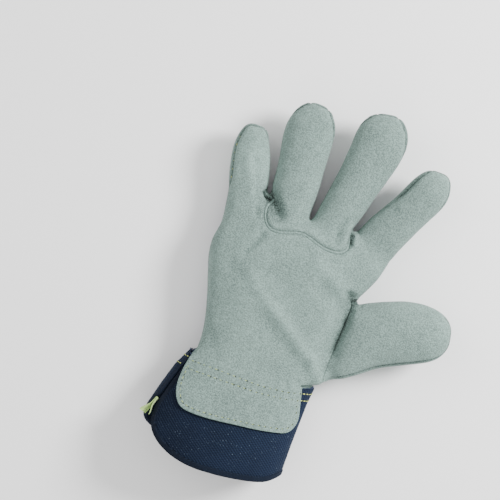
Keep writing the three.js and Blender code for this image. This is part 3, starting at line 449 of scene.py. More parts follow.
def palm_rows(cage):
    """Rows of points up the palm and up the back."""
    front, back = [], []
    for row, back_row in zip(PALM_ROWS, BACK_ROWS):
        front_row, back_points = [], []
        for c in range(LAST_COLUMN + 1):
            share = lerp(c / LAST_COLUMN, COLUMN_SHARE[c], row.fan)
            s = 2 * share - 1
            y = lerp(row.y_left, row.y_right, share) + row.bow * (1 - s * s)
            x = lerp(row.left, row.right, share)
            front_row.append(cage.point(x, y, row.z + palm_crown(s) * row.deep))
            if c <= INDEX_COLUMN:
                own = c / INDEX_COLUMN * back_row.share
            else:
                own = lerp(back_row.share, 1, (c - INDEX_COLUMN) / (LAST_COLUMN - INDEX_COLUMN))
            y = lerp(back_row.y_left, back_row.y_right, own) + back_row.bow * (1 - (2 * own - 1) ** 2)
            z = row.z - EDGE_DEEP * row.deep if c in (0, LAST_COLUMN) else back_row.z
            back_points.append(cage.point(lerp(row.left, row.right, own), y, z))
        front.append(front_row)
        back.append(back_points)
    for row, down in zip(ROOT_ROWS, BACK_ROOT_DOWN):
        front_row, back_points = [], []
        for c, (x, y) in enumerate(root_columns(row)):
            valley = row.valley if is_valley(c) else 0
            z = row.z + palm_crown(2 * COLUMN_SHARE[c] - 1) * row.deep - valley
            front_row.append(cage.point(x, y, z))
            z = row.z - ROOT_EDGE_DEEP * row.deep if c in (0, LAST_COLUMN) else BACK_Z + valley * 0.6
            back_points.append(cage.point(x, y - down, z))
        front.append(front_row)
        back.append(back_points)
    for row in front:
        cage.in_front.update(row)
    return front, back


def palm_faces(cage, front, back):
    """The faces between the rows of the palm and of the back, and those of the two sides."""
    top = len(front) - 1
    for r in range(top):
        for c in range(LAST_COLUMN):
            under_fingers = r >= top - FRONTS_ROWS and c in FRONTS_COLUMNS
            panel = "finger_fronts" if under_fingers else "palm_leather"
            cage.face(panel, (front[r][c], front[r][c + 1], front[r + 1][c + 1], front[r + 1][c]))
            on_cloth = c < INDEX_COLUMN
            strapped = on_cloth and STRAP_FROM_ROW <= r < STRAP_TO_ROW
            cage.face(
                "back_denim" if on_cloth else "palm_leather",
                (back[r][c + 1], back[r][c], back[r + 1][c], back[r + 1][c + 1]),
                "strap" if strapped else "skin",
            )
        side = (back[r][0], front[r][0], front[r + 1][0], back[r + 1][0])
        cage.face("back_denim", side, upper="palm_leather")
        if not THUMB_FROM_ROW <= r < THUMB_TO_ROW:
            edge = (front[r][-1], back[r][-1], back[r + 1][-1], front[r + 1][-1])
            cage.face("palm_leather", edge)


# %% The fingers and the thumb
CROTCHES = ("fourchette_little_ring", "fourchette_ring_middle", "fourchette_middle_index")
Faces = namedtuple("Faces", "front back tip left right")
FACES_OF = {
    "little": Faces("palm_leather", "back_denim", "fingertip_little", "fingertip_little", CROTCHES[0]),
    "ring": Faces("finger_fronts", "back_denim", "fingertip_ring", CROTCHES[0], CROTCHES[1]),
    "middle": Faces("finger_fronts", "back_denim", "fingertip_middle", CROTCHES[1], CROTCHES[2]),
    "index": Faces("palm_leather", "index_back", "index_back", CROTCHES[2], "index_back"),
}


def finger_faces(cage, front, back):
    """Four fingers on the last row of the palm, and the leather of the crotches between them."""
    for i, panel in enumerate(CROTCHES):
        c = 3 * i + 2
        upper = "finger_fronts" if panel == "fourchette_ring_middle" else panel
        cage.face(panel, (front[-1][c], front[-1][c + 1], back[-1][c + 1], back[-1][c]), upper=upper)
    for i, (name, sections) in enumerate(FINGERS.items()):
        own = slice(3 * i, 3 * i + 3)
        panel = FACES_OF[name]
        lower = (front[-1][own], back[-1][own])
        for s, section in enumerate(sections):
            upper = ring(cage, section, across_at(sections, s), FINGER_STEPS)
            behind = panel.tip if s >= TIP_FROM[name] else panel.back
            join_rings(cage, lower, upper, panel.front, behind, panel.left, panel.right)
            lower = upper
        cap_ring(cage, lower, panel.tip, panel.front)


def thumb_faces(cage, front, back):
    """The thumb, on the side that the palm leaves open."""
    rows = range(THUMB_TO_ROW, THUMB_FROM_ROW - 1, -1)
    lower = ([front[r][LAST_COLUMN] for r in rows], [back[r][LAST_COLUMN] for r in rows])
    for section in THUMB:
        lean = math.radians(section.lean)
        upper = ring(cage, section, (-math.sin(lean), math.cos(lean)), THUMB_STEPS)
        join_rings(cage, lower, upper, "thumb_leather", *["thumb_back"] * 3)
        lower = upper
    cap_ring(cage, lower, "thumb_back", "thumb_leather")


# %% The tab, and the band under the cuff
def tab_faces(cage, front):
    """The tab, laid over the cuff's tube."""
    above = front[0][: SLOT_COLUMN + 1]
    for row in TAB_ROWS:
        below = []
        for c in range(SLOT_COLUMN + 1):
            share = c / SLOT_COLUMN
            x = lerp(row.left, row.right, share)
            y = row.y + row.bow * (1 - (2 * share - 1) ** 2)
            below.append(cage.point(*laid_on_cuff([(x, y, cuff_height(x, y))], TAB_LAY)[0]))
        for c in range(SLOT_COLUMN):
            cage.face("palm_leather", (below[c], below[c + 1], above[c + 1], above[c]), "tab")
        above = below


def band_faces(cage, front, back):
    """The end of the hand, which goes down inside the cuff's tube."""
    mouth = front[0][SLOT_COLUMN:] + back[0][::-1] + front[0][:1]
    leather_until = LAST_COLUMN - SLOT_COLUMN + 1 + (LAST_COLUMN - INDEX_COLUMN)
    for v in mouth[1:-1]:
        cage.points[v] = list(laid_on_cuff([cage.points[v]], BAND_LAY)[0])
    above = mouth
    for y in BAND_ROWS:
        places = [(cage.points[v][0], y, cage.points[v][2]) for v in mouth]
        below = [cage.point(*place) for place in laid_on_cuff(places, BAND_LAY)]
        for i in range(len(mouth) - 1):
            panel = "palm_leather" if i < leather_until else "back_denim"
            upper = "palm_leather" if i == len(mouth) - 2 else panel
            cage.face(panel, (below[i], below[i + 1], above[i + 1], above[i]), "band", upper)
        cage.in_front.add(below[-1])
        above = below


# %% The whole cage
hand_cage = Cage()
front_rows, back_rows = palm_rows(hand_cage)
palm_faces(hand_cage, front_rows, back_rows)
finger_faces(hand_cage, front_rows, back_rows)
thumb_faces(hand_cage, front_rows, back_rows)
tab_faces(hand_cage, front_rows)
band_faces(hand_cage, front_rows, back_rows)
print("cage:", len(hand_cage.points), "points,", len(hand_cage.faces), "faces")

# %% [markdown]
# ## From the cage to the skin
# Blender's Subdivision Surface does the smoothing. Each small face keeps the owner number of the
# cage face that it came from, in a face attribute, so the panels survive the smoothing. A point
# attribute named frontness, 1 on the palm side and 0 on the back, is blended in between.

# %% Subdivide the cage
SKIN_LEVELS = 3


def put(name, data):
    """An object with this data, in the scene."""
    thing = bpy.data.objects.new(name, data)
    bpy.context.scene.collection.objects.link(thing)
    return thing


def applied(thing):
    """The mesh of an object once its modifiers are worked out."""
    evaluated = thing.evaluated_get(bpy.context.evaluated_depsgraph_get())
    return bpy.data.meshes.new_from_object(evaluated)


def read(items, key, kind=float, width=1):
    """One property of all the items, as an array."""
    values = np.empty(len(items) * width, dtype=kind)
    items.foreach_get(key, values)
    return values


def smoothed(cage, levels):
    """Places in mm and four-sided faces, with their owners, front panels and frontness."""
    mesh = bpy.data.meshes.new("cage")
    mesh.from_pydata(cage.points, [], cage.faces)
    for label, values in (("owner", cage.owners), ("upper", cage.uppers)):
        mesh.attributes.new(label, "INT", "FACE").data.foreach_set("value", values)
    in_front = [float(v in cage.in_front) for v in range(len(cage.points))]
    mesh.attributes.new("frontness", "FLOAT", "POINT").data.foreach_set("value", in_front)
    carrier = put("cage", mesh)
    subdivision = carrier.modifiers.new("smooth", "SUBSURF")
    subdivision.levels = levels
    subdivision.render_levels = levels
    subdivision.use_limit_surface = True
    subdivision.boundary_smooth = "ALL"
    made = applied(carrier)
    places = read(made.vertices, "co", width=3)
    quads = read(made.loops, "vertex_index", int)
    owners, uppers = (read(made.attributes[label].data, "value", int) for label in ("owner", "upper"))
    frontness = read(made.attributes["frontness"].data, "value")
    bpy.data.objects.remove(carrier)
    bpy.data.meshes.remove(made)
    bpy.data.meshes.remove(mesh)
    quads = quads.reshape(-1, 4)
    return places.reshape(-1, 3), quads, owners, uppers, frontness[quads].mean(axis=1)


skin, skin_quads, skin_owners, skin_uppers, face_frontness = smoothed(hand_cage, SKIN_LEVELS)
face_panel = skin_owners // len(ZONES)
face_zone = skin_owners % len(ZONES)
print("skin:", len(skin), "points,", len(skin_quads), "faces")


def of_panel(name):
    return face_panel == PANELS.index(name)


def of_zone(name):
    return face_zone == ZONES.index(name)


def points_of(mask):
    """The points of the faces that a mask picks."""
    return np.unique(skin_quads[mask])


def seam_between(one, other):
    """The points that two panels share."""
    return np.intersect1d(points_of(of_panel(one)), points_of(of_panel(other)))


# %% [markdown]
# The line of each side seam: at the equator of a finger it can't be seen from in front, and
# where it rises over the edge, as round the tips, it shows as a fine line inside the outline.

# %% How far the front panels come round the sides
SEAM_LINES = {
    "little_left": [(-120, 0.5), (67, 0.5), (72, 0.9), (80, 1)],
    "little_right": [(60, 0.5), (105, 0.5), (114, 0.9)],
    "ring_left": [(60, 0.5), (126, 0.5), (140, 1)],
    "ring_right": [(60, 0.5), (114, 0.5), (132, 0.9), (140, 1)],
    "middle_left": [(60, 0.5), (132, 0.5), (147, 1)],
    "middle_right": [(60, 0.5), (116, 0.5), (136, 0.9), (147, 1)],
    "index_left": [(40, 0.7), (84, 0.8), (102, 1), (114, 1), (118, 0.9)],
    "index_right": [(40, 0.5), (86, 0.5), (102, 0.9)],
}
FINGER_MIDDLES = {name: np.array([(s.y, s.x) for s in sections]).T for name, sections in FINGERS.items()}
THUMB_SEAM = 1
EQUATOR = 0.5
FINGERS_FROM = 45  # y below which the seams run at the equator


def finger_at(x, y):
    """The finger that a place lies on or below, and its side."""
    middles = {name: np.interp(y, *line) for name, line in FINGER_MIDDLES.items()}
    name = min(middles, key=lambda key: abs(middles[key] - x))
    return name + ("_left" if x < middles[name] else "_right")


face_middle = skin[skin_quads].mean(axis=1)
for f in np.flatnonzero((skin_uppers != face_panel) & (face_frontness < 1)):
    x, y, _ = face_middle[f]
    if skin_uppers[f] == PANELS.index("thumb_leather"):
        cut = THUMB_SEAM
    elif face_zone[f] == ZONES.index("band") or y < FINGERS_FROM:
        cut = EQUATOR
    else:
        line = SEAM_LINES[finger_at(x, y)]
        cut = np.interp(y, *np.array(line).T)
    if face_frontness[f] > cut:
        face_panel[f] = skin_uppers[f]
print("front panels took", int((face_panel != skin_owners // len(ZONES)).sum()), "faces of the sides")

# %% [markdown]
# The thumb and the index are each one piece of leather that is folded round one edge and sewn
# along the other. There the skin is slit: the points of the slit get a twin for the back side.

# %% The slits of the thumb and the index
INDEX_SLIT_FROM = 90  # y
THUMB_SLIT_FROM = 122  # x past which the slit goes on over the upper edge of the tip
thumb_middle = np.array([(s.x, s.y) for s in THUMB]).T


def slit_points(part, panel):
    shared = seam_between(part, panel)
    x, y, _ = skin[shared].T
    if part == "index_back":
        return shared[y > INDEX_SLIT_FROM]
    return shared[(y < np.interp(x, *thumb_middle)) | (x > THUMB_SLIT_FROM)]


slit = np.concatenate([slit_points(part, panel) for part, panel in PART_OF.items()])
twin = {int(v): len(skin) + i for i, v in enumerate(slit)}


def with_twins(values):
    return np.concatenate([values, values[slit]])


def faces_of(node):
    """The faces of one piece of leather or cloth, slit where it is sewn to itself."""
    faces = [skin_quads[of_panel(node)]]
    for part, panel in PART_OF.items():
        if panel == node:
            own = skin_quads[of_panel(part)]
            faces.append(np.array([[twin.get(v, v) for v in face] for face in own.tolist()]))
    return np.concatenate(faces)


print("slits:", len(slit), "points")


# %% Lay the tab on the cuff and the band under it
TAB_TRIM = 3.4  # mm that the tab's cut edge rises towards the thumb
own = points_of(of_zone("tab"))
x, y, _ = skin[own].T
skin[own, 1] = y + TAB_TRIM * ramp(x, start=-33, over=45) * ramp(-y, start=62, over=24)
Lay = namedtuple("Lay", "zone height start over")
for lay in (Lay("band", BAND_LAY, 44, 3), Lay("tab", TAB_LAY, 49, 4)):
    own = points_of(of_zone(lay.zone))
    full = ramp(-skin[own, 1:2], lay.start, lay.over)
    skin[own] = lerp(skin[own], laid_on_cuff(skin[own], lay.height), full)


def vertex_normals(places, quads):
    a, b, c, d = (places[quads[:, i]] for i in range(4))
    face = np.cross(c - a, d - b)
    total = np.zeros_like(places)
    for i in range(4):
        np.add.at(total, quads[:, i], face)
    return unit(total)


# %% [markdown]
# A seam line that follows the cage turns its corners at once. Real seams turn in a curve, so all
# of them are evened out, that of the welt the most, and the skin beside them goes along.

# %% Find the seams, and what goes along with them
def seam_neighbours():
    """The seam points that each point of a seam is joined to, between two panels or at a slit."""
    first, links = {}, {}
    for face, panel in zip(skin_quads.tolist(), face_panel.tolist()):
        for i in range(4):
            a, b = face[i], face[(i + 1) % 4]
            if first.setdefault(pair(a, b), panel) != panel:
                links.setdefault(a, set()).add(b)
                links.setdefault(b, set()).add(a)
    return links


def seam_chain(points, faces):
    """The points of a seam in order, from its left end to its right end."""
    links = {v: set() for v in points}
    for face in faces:
        for i in range(4):
            a, b = int(face[i]), int(face[(i + 1) % 4])
            if a in links and b in links:
                links[a].add(b)
                links[b].add(a)
    start = min((v for v in links if len(links[v]) == 1), key=lambda v: skin[v, 0])
    chain = [start]
    while True:
        onward = [v for v in links[chain[-1]] if v not in chain]
        if not onward:
            return chain
        chain.append(onward[0])


SEAM_ROUNDS = 8
SEAM_DRAWS = 4
WELT_ROUNDS = 22
WELT_DRAWS = 9  # mm of skin beside the welt that goes along


def tree_of(places):
    """A tree that finds the nearest of these places."""
    tree = KDTree(len(places))
    for i, place in enumerate(places):
        tree.insert(place, i)
    tree.balance()
    return tree


def carried(places, anchors, moves, reach, count=4, least=0.02, fading=smooth):
    """How far every place goes along with the moves of the few anchors nearest to it."""
    near = tree_of(anchors)
    shift = np.zeros_like(places)
    for i, place in enumerate(places):
        found = near.find_n(place, count)
        fade = float(fading(1 - found[0][2] / reach))
        if fade > 0:
            weights = np.array([1 / (far + least) ** 2 for _, _, far in found])
            shift[i] = fade * (weights @ moves[[k for _, k, _ in found]]) / weights.sum()
    return shift


# %% Turn the seams in curves
links = seam_neighbours()
junctions = {v for v in links if len(links[v]) > 2}
junctions |= {twin[v] for v in junctions if v in twin}
on_seam = np.array([v for v in links if len(links[v]) == 2])
evened = skin.copy()
for _ in range(SEAM_ROUNDS):
    beside = np.array([[*links[v]] for v in on_seam.tolist()])
    evened[on_seam] = (evened[beside[:, 0]] + 2 * evened[on_seam] + evened[beside[:, 1]]) / 4
skin = skin + carried(skin, skin[on_seam], evened[on_seam] - skin[on_seam], SEAM_DRAWS)

welt_points = set(seam_between("palm_leather", "finger_fronts").tolist())
welt_chain = seam_chain(welt_points, skin_quads[of_panel("finger_fronts")])
moves = rounded(skin[welt_chain], WELT_ROUNDS) - skin[welt_chain]
skin = skin + carried(skin, skin[welt_chain], moves, WELT_DRAWS)
print("the welt's seam moved by up to", round(float(np.linalg.norm(moves, axis=1).max()), 2), "mm")

Bow = namedtuple("Bow", "x wide rise draws")
WELT_BOW = Bow(10, 13, 4.6, 15)  # the welt rises towards the fingers between its two low corners
bow = WELT_BOW.rise * hump(skin[welt_chain, 0] - WELT_BOW.x, WELT_BOW.wide)
skin = skin + carried(skin, skin[welt_chain], bow[:, None] * np.array([0, 1, 0]), WELT_BOW.draws)

skin_normals = vertex_normals(skin, skin_quads)

# %% [markdown]
# ## Folds, dents and gathers
# An empty glove keeps the creases of its sewing: a valley along the thumb seam, soft diagonal
# ridges over the heel of the hand, pleats where the elastic draws in the back. A cloth simulation
# could make creases too, but not these very ones, so they are written as short straight folds
# that push the skin along its normal, with a slow noise between them.

# %% Folds of the two sides
Fold = namedtuple("Fold", "name side x0 y0 x1 y1 wide rise")
FOLDS = [
    Fold("thumb_seam", "front", 57, 17, 53.6, -20, 6.5, -2.2),
    Fold("thumb_mound", "front", 44, 6, 43, -16, 10, 1.1),
    Fold("heel_ridge", "front", -14, 12, 42, -31, 8, 1.2),
    Fold("heel_valley", "front", 1, -13, 36, -38, 8, -0.9),
    Fold("index_ridge", "front", 28, 34, 53, 20, 7.5, 1.4),
    Fold("index_valley", "front", 37, 20, 52, 8, 7.5, -1.3),
    Fold("little_dimple", "front", -15, 42, -22.5, 29, 3.4, -1.7),
    Fold("beside_dimple", "front", -20.5, 43, -27, 32, 4, 0.6),
    Fold("palm_hollow", "front", 6, 20, 16, 6, 16, -1.2),
    Fold("thumb_crease", "front", 57.4, 13, 57.6, 1, 4.4, -1.6),
    Fold("thumb_crease_low", "front", 57.6, 1, 55.4, -12, 4.6, -1.1),
    Fold("crotch_notch", "front", 54, 21, 63, 17, 3.4, -3.4),
    Fold("middle_crease", "front", 38, 68, 34.8, 59, 3.4, -1.7),
    Fold("middle_crease_low", "front", 34.8, 59, 35.4, 53, 3.2, -1.2),
    Fold("middle_ridge", "front", 41, 66, 40, 54, 3.4, 1.4),
    Fold("middle_pocket", "front", 44.3, 61, 45.2, 53.5, 2, -2.4),
    Fold("ring_pocket", "front", -18, 70, -8, 59, 6, -4.6),
    Fold("palm_diagonal", "front", -12.8, 11.3, 42.7, -30.7, 4.5, 0.7),
    Fold("beside_diagonal", "front", 2.7, -10.5, 36.8, -35.4, 4.5, -0.5),
    Fold("palm_left_valley", "front", -28.7, 15.2, 4.4, 3.3, 6, -0.8),
    Fold("tab_ridge", "front", -34.3, -47.5, -9.8, -46, 3, 0.8),
    Fold("little_ridge", "front", -40, 92, -30, 66, 4, 0.8),
    Fold("little_valley", "front", -34, 90, -25, 66, 4, -0.9),
    Fold("little_root", "front", -27, 55, -21, 48, 4, 0.6),
    Fold("wrist_ridge", "front", 44, -30, 50, -42, 4.5, 0.9),
    Fold("wrist_valley", "front", 38, -34, 43, -44, 4, -0.7),
    Fold("heel_side", "front", -30, -30, -24, -44, 6, -0.7),
    Fold("knuckle_little", "back", -42, 52, -28, 52, 3, 0.7),
    Fold("knuckle_ring", "back", -14, 52, 6, 50, 3, 0.8),
    Fold("knuckle_middle", "back", 22, 50, 42, 50, 3, 0.8),
    Fold("joint_ring", "back", -14, 78, 8, 76, 3, -0.8),
    Fold("joint_middle", "back", 22, 76, 46, 72, 3, -0.8),
    Fold("joint_index", "back", 60, 70, 74, 62, 3.5, -0.7),
]
FOLD_FADE = 2  # how steeply a fold falls off beside its line
FOLDS_END = -50  # the folds end above the cuff


def fold_rise(places, side):
    """How far the folds of one side lift every place."""
    total = np.zeros(len(places))
    for fold in FOLDS:
        if fold.side != side:
            continue
        start = np.array([fold.x0, fold.y0])
        way = np.array([fold.x1, fold.y1]) - start
        away = places[:, :2] - start
        t = np.clip(away @ way / (way @ way), 0, 1)
        far = np.linalg.norm(away - t[:, None] * way, axis=1)
        total += fold.rise * np.exp(-((far / fold.wide) ** 2) * FOLD_FADE)
    return total * ramp(places[:, 1], FOLDS_END, 12)


# %% Pleats at the elastic, and the slow unevenness of hide and cloth
ELASTIC_ROWS = (-23.2, -27.4)  # y of the two rows that sew the elastic in
PLEAT_PITCH = 7.4
PLEAT_DEEP = 1.15
PLEAT_REACH = 13  # how far the pleats run to each side of the elastic
PLEAT_FADE = 1.4
PLEAT_WANDER = 1.3  # pleats that one is out of its place by at most
SLOW_RISE = 0.55
SIDEWAYS = 0.15  # a place that faces up or down by less than this belongs to the sides


def pleat_rise(places):
    """Pleats of the back, each one wandering a little."""
    x, y = places[:, 0], places[:, 1]
    middle = sum(ELASTIC_ROWS) / 2
    wander = np.array([noise.noise(Vector((px * 0.05, py * 0.06, 4.2))) for px, py in zip(x, y)])
    wave = np.cos(2 * np.pi * (x / PLEAT_PITCH + wander * PLEAT_WANDER))
    fade = np.exp(-(((y - middle) / PLEAT_REACH) ** 2) * PLEAT_FADE)
    return PLEAT_DEEP * fade * (wave * 0.8 + 0.2 * np.abs(wave))


def hide_noise(places, size, seed):
    """A slow noise whose features are about this many mm across."""
    return np.array([noise.noise(Vector(p) / size + Vector((seed, 0, 0))) for p in places])


facing = skin_normals[:, 2]
on_front = ramp(facing, SIDEWAYS, 0.45)
on_back = ramp(-facing, SIDEWAYS, 0.45)
slow = 0.75 * hide_noise(skin, size=22, seed=3.1) + 0.4 * hide_noise(skin, size=9, seed=8.4)
clear_of_cuff = ramp(skin[:, 1], FOLDS_END, 10)
lift = on_front * fold_rise(skin, "front") + on_back * fold_rise(skin, "back")
lift += on_back * clear_of_cuff * pleat_rise(skin)
lift += slow * SLOW_RISE * clear_of_cuff * (1 - 0.5 * on_back)

Swell = namedtuple("Swell", "x y wide rise")
WRIST_SWELLS = [Swell(53, -42.5, 6, 2.6), Swell(60, -38.5, 5, -1.4)]  # the outline below the thumb
for swell in WRIST_SWELLS:
    far = np.hypot(skin[:, 0] - swell.x, skin[:, 1] - swell.y)
    lift += swell.rise * hump(far, swell.wide)

# %% [markdown]
# Beside a seam the leather dips and, a little further in, swells over the turned-in edge.

# %% Dips and swells along the seams
SEAM_DIP = 0.42
DIP_WIDE = 1.3
SEAM_SWELL = 0.3
SWELL_AT = 3.2  # mm from the seam
SWELL_WIDE = 2.2
CREASE_WIDE = 0.9
WELT_CREASE_SHADE = 0.3  # how much shade is painted into the creases beside the welt
LOWEST_SKIN = 0.35


def seam_points():
    """Points where the faces of two panels meet, and those of the slits."""
    whole = [PANELS.index(PART_OF.get(panel, panel)) for panel in PANELS]
    first = np.full(len(skin), -1)
    mixed = np.zeros(len(skin), dtype=bool)
    mixed[slit] = True
    for i in range(4):
        for v, panel in zip(skin_quads[:, i], face_panel):
            if first[v] < 0:
                first[v] = whole[panel]
            elif first[v] != whole[panel]:
                mixed[v] = True
    return np.flatnonzero(mixed)


seams = seam_points()
seam_tree = tree_of(skin[seams])
seam_far = np.array([seam_tree.find(place)[2] for place in skin])
x, y, _ = skin.T
faces_out = ramp(np.abs(facing), SIDEWAYS, 0.5)  # a dip at the outline would notch it
run_out = ramp(y, start=-14, over=-12) * ramp(x, start=66, over=-6) * ramp(x, start=44, over=4)
faces_out = faces_out * (1 - run_out)  # and the thumb's seam runs out of its crease
index_side = ramp(y, start=40, over=8) * ramp(y, start=98, over=-8) * ramp(x, start=45, over=4)
flush = np.maximum(run_out, index_side)
lift += SEAM_SWELL * hump(seam_far - SWELL_AT, SWELL_WIDE) * clear_of_cuff * faces_out
lift -= SEAM_DIP * hump(seam_far, DIP_WIDE) * clear_of_cuff * faces_out
skin = skin + skin_normals * lift[:, None]
skin[:, 2] = np.maximum(skin[:, 2], LOWEST_SKIN)
skin_normals = vertex_normals(skin, skin_quads)
# painted shade: the creases along the seams are darkened, less where a seam lies flush
crease = hump(seam_far, CREASE_WIDE) * (1 - 0.8 * flush)
crease[sorted(welt_points)] = WELT_CREASE_SHADE

# %% Broad paler and darker places, and painted shade in the pockets and crotches
ToneAndShadeSpot = namedtuple("ToneAndShadeSpot", "x y wide amount")
TONE_SPOTS_AND_PAINTED_SHADE = [
    # broad paler and darker places
    ToneAndShadeSpot(8, -8, 26, 0.09),
    ToneAndShadeSpot(28, 22, 22, 0.06),
    ToneAndShadeSpot(-38, 92, 22, 0.22),
    ToneAndShadeSpot(2, -85, 34, -0.08),
    ToneAndShadeSpot(72, 78, 30, -0.07),
    ToneAndShadeSpot(44, 124, 24, -0.05),
    # painted shade: dark spots in the ring's pocket, the crotches and the pocket at the middle finger's
    # base
    ToneAndShadeSpot(-13.5, 66.5, 5, -0.36),
    ToneAndShadeSpot(-11.5, 60.5, 5, -0.34),
    ToneAndShadeSpot(-18.5, 68.5, 3.2, -0.14),
    ToneAndShadeSpot(56.5, 18.5, 3, -0.32),
    ToneAndShadeSpot(61, 17, 2.6, -0.3),
    ToneAndShadeSpot(-20.4, 57.5, 2.4, -0.3),
    ToneAndShadeSpot(44.5, 60, 2.1, -0.45),
    ToneAndShadeSpot(45, 55.5, 2.1, -0.45),
]
# the spots as one number: broad tone, and painted shade in the pockets and crotches
pale = sum(
    spot.amount * np.exp(-((skin[:, 0] - spot.x) ** 2 + (skin[:, 1] - spot.y) ** 2) / spot.wide**2)
    for spot in TONE_SPOTS_AND_PAINTED_SHADE
)
# painted light and shade: ridges are painted lighter and valleys darker, by how far the skin is lifted
RIDGE_PAINTED_LIGHT = 0.13
FULL_RIDGE = 1.6  # mm of lift that make a ridge as pale as it gets
CREASE_PAINTED_SHADE = 0.3
not_below = skin_normals[:, 2] > -0.2
# the shade attribute: painted light on ridges, painted shade in valleys, creases and seams, and the spots
shade = RIDGE_PAINTED_LIGHT * np.clip(lift / FULL_RIDGE, -1, 1) + pale * not_below - CREASE_PAINTED_SHADE * crease
print("lift from", round(lift.min(), 2), "to", round(lift.max(), 2), "mm")

# %% [markdown]
# ## Panels with a thickness
# A panel is cut out of the skin and gets an outer and an inner side. Solidify would do that, but
# it can't round one edge more than another. Here the edge of every panel is rolled in three small
# steps, wide along a turned-in seam and narrow along a cut edge, drawn back to leave the seam's
# gap.

# %% Cut a panel out of the skin
Edge = namedtuple("Edge", "gap roll")
TURNED = Edge(SEAM_GAP / 2, TURN_IN)
THUMB_TURNED = Edge(THUMB_SEAM_GAP / 2, TURN_IN)
BESIDE_WELT = Edge(WELT / 2 + WELT_GAP, 0.35)
FLUSH = Edge(0.08, 0.3)  # where a seam lies flat and hardly shows
CUT = Edge(0, CUT_EDGE)
JUNCTION_ROLL = 0.3  # where three panels meet, wide round edges would leave a hole
ROLL_STEPS = ((1, 0), (0.42, 0.24), (0.08, 0.62), (0, 1))  # share of the roll, back and down
ROLL_MOST = 0.7  # share of the wall that a roll takes at most


def rim_of(faces):
    """The edges that only one of the faces has, in that face's direction."""
    edges = {}
    for face in faces:
        for i in range(4):
            a, b = int(face[i]), int(face[(i + 1) % 4])
            key = pair(a, b)
            edges[key] = None if key in edges else (a, b, face)
    return [edge for edge in edges.values() if edge]


# %% Draw the edge of a panel back
ALIKE = 0.9  # from this cosine on, two directions count as one
SHORT_CORNER = 0.35  # least squared sine at a sharp corner, which keeps it from reaching far


def mitre(pulls, share):
    """The move that draws a corner back from both of its edges, with a share of their rolls."""
    (first, edge), (second, other_edge) = (pulls * 2)[:2]
    one, other = edge.gap + edge.roll * share, other_edge.gap + other_edge.roll * share
    cosine = float(first @ second)
    if cosine < -ALIKE:  # the end of a slit, where both sides meet
        return np.zeros(3)
    if cosine > ALIKE:
        return (first + second) * (one + other) / 4
    square = 1 - cosine * cosine
    if cosine <= 0:
        square = max(SHORT_CORNER, square)
    return first * ((one - other * cosine) / square) + second * ((other - one * cosine) / square)


DRAW_REACH = 6  # how far from the edge the skin is drawn along with it


def inward_of(places, a, b, face):
    """The direction from an edge into its face."""
    along = places[b] - places[a]
    inward = places[face].mean(axis=0) - places[a]
    return unit(inward - along * (inward @ along) / (along @ along))


# %% Close a panel round its wall
def panel_solid(places, normals, faces, wall, edge_of, outside=0):
    """Places, faces and the source point of every place of a closed panel."""
    rim = rim_of(faces)
    pulls = {}
    for a, b, face in rim:
        inward = inward_of(places, a, b, face)
        edge = edge_of(a, b)
        for v in (a, b):
            roll = min(edge.roll, JUNCTION_ROLL) if v in junctions else edge.roll
            pulls.setdefault(v, []).append((inward, Edge(edge.gap, roll)))
    rim_list = list(pulls)
    used = np.unique(faces)
    index = {int(v): i for i, v in enumerate(used)}
    moves = np.array([mitre(pulls[v], 1) for v in rim_list])
    drawn = places[used]
    drawn = drawn + carried(drawn, places[rim_list], moves, DRAW_REACH, count=5, least=0.05, fading=float)
    drawn[[index[v] for v in rim_list]] = places[rim_list] + moves

    count = len(used)
    made = [drawn + normals[used] * outside]
    source = [used]
    order = {v: i for i, v in enumerate(rim_list)}
    rim_array = np.array(rim_list)
    for back, down in ROLL_STEPS[1:]:
        shift = np.array([mitre(pulls[v], back) for v in rim_list])
        deep = np.array([min(pulls[v][0][1].roll, ROLL_MOST * wall) * down for v in rim_list])
        made.append(places[rim_array] + shift + normals[rim_array] * (outside - deep)[:, None])
        source.append(rim_array)
    inner = drawn - normals[used] * (wall - outside)
    for v in rim_list:
        inner[index[v]] = places[v] + mitre(pulls[v], 0) - normals[v] * (wall - outside)
    made.append(inner)
    source.append(used)

    local = np.array([[index[int(v)] for v in face] for face in faces])
    rings = [count + k * len(rim_list) for k in range(len(ROLL_STEPS) - 1)]
    inner_start = count + (len(ROLL_STEPS) - 1) * len(rim_list)
    solid = [tuple(face) for face in local]
    solid += [tuple(inner_start + v for v in face[::-1]) for face in local]
    for a, b, _ in rim:
        down_a = [index[a]] + [start + order[a] for start in rings] + [inner_start + index[a]]
        down_b = [index[b]] + [start + order[b] for start in rings] + [inner_start + index[b]]
        for k in range(len(down_a) - 1):
            solid.append((down_a[k], down_a[k + 1], down_b[k + 1], down_b[k]))
    return np.concatenate(made), solid, np.concatenate(source)


# %% [markdown]
# ## Shader maths that reads like maths
# A suede or a twill is a sum of noises and waves. Written node by node that is long, so one small
# class lets a socket be added, subtracted and multiplied as a Python number is.

# %% A number in a material's nodes
class Value:
    """A number on its way through a material's nodes."""

    def __init__(self, finish, socket):
        self.finish = finish
        self.socket = socket

    def maths(self, operation, *others):
        values = {i: other for i, other in enumerate((self, *others))}
        return self.finish.add("ShaderNodeMath", {"operation": operation}, values).value()

    def __add__(self, other):
        return self.maths("ADD", other)

    __radd__ = __add__

    def __mul__(self, other):
        return self.maths("MULTIPLY", other)

    __rmul__ = __mul__

    def __sub__(self, other):
        return self.maths("SUBTRACT", other)

    def __rsub__(self, other):
        return (self * -1) + other

    def wave(self):
        """A sine wave of the number, from 0 to 1."""
        return self.maths("SINE") * 0.5 + 0.5

    def between(self, low, high):
        """0 below low, 1 above high and smooth between them."""
        values = {"Value": self, "From Min": low, "From Max": high}
        settings = {"interpolation_type": "SMOOTHSTEP", "clamp": True}
        return self.finish.add("ShaderNodeMapRange", settings, values).value()


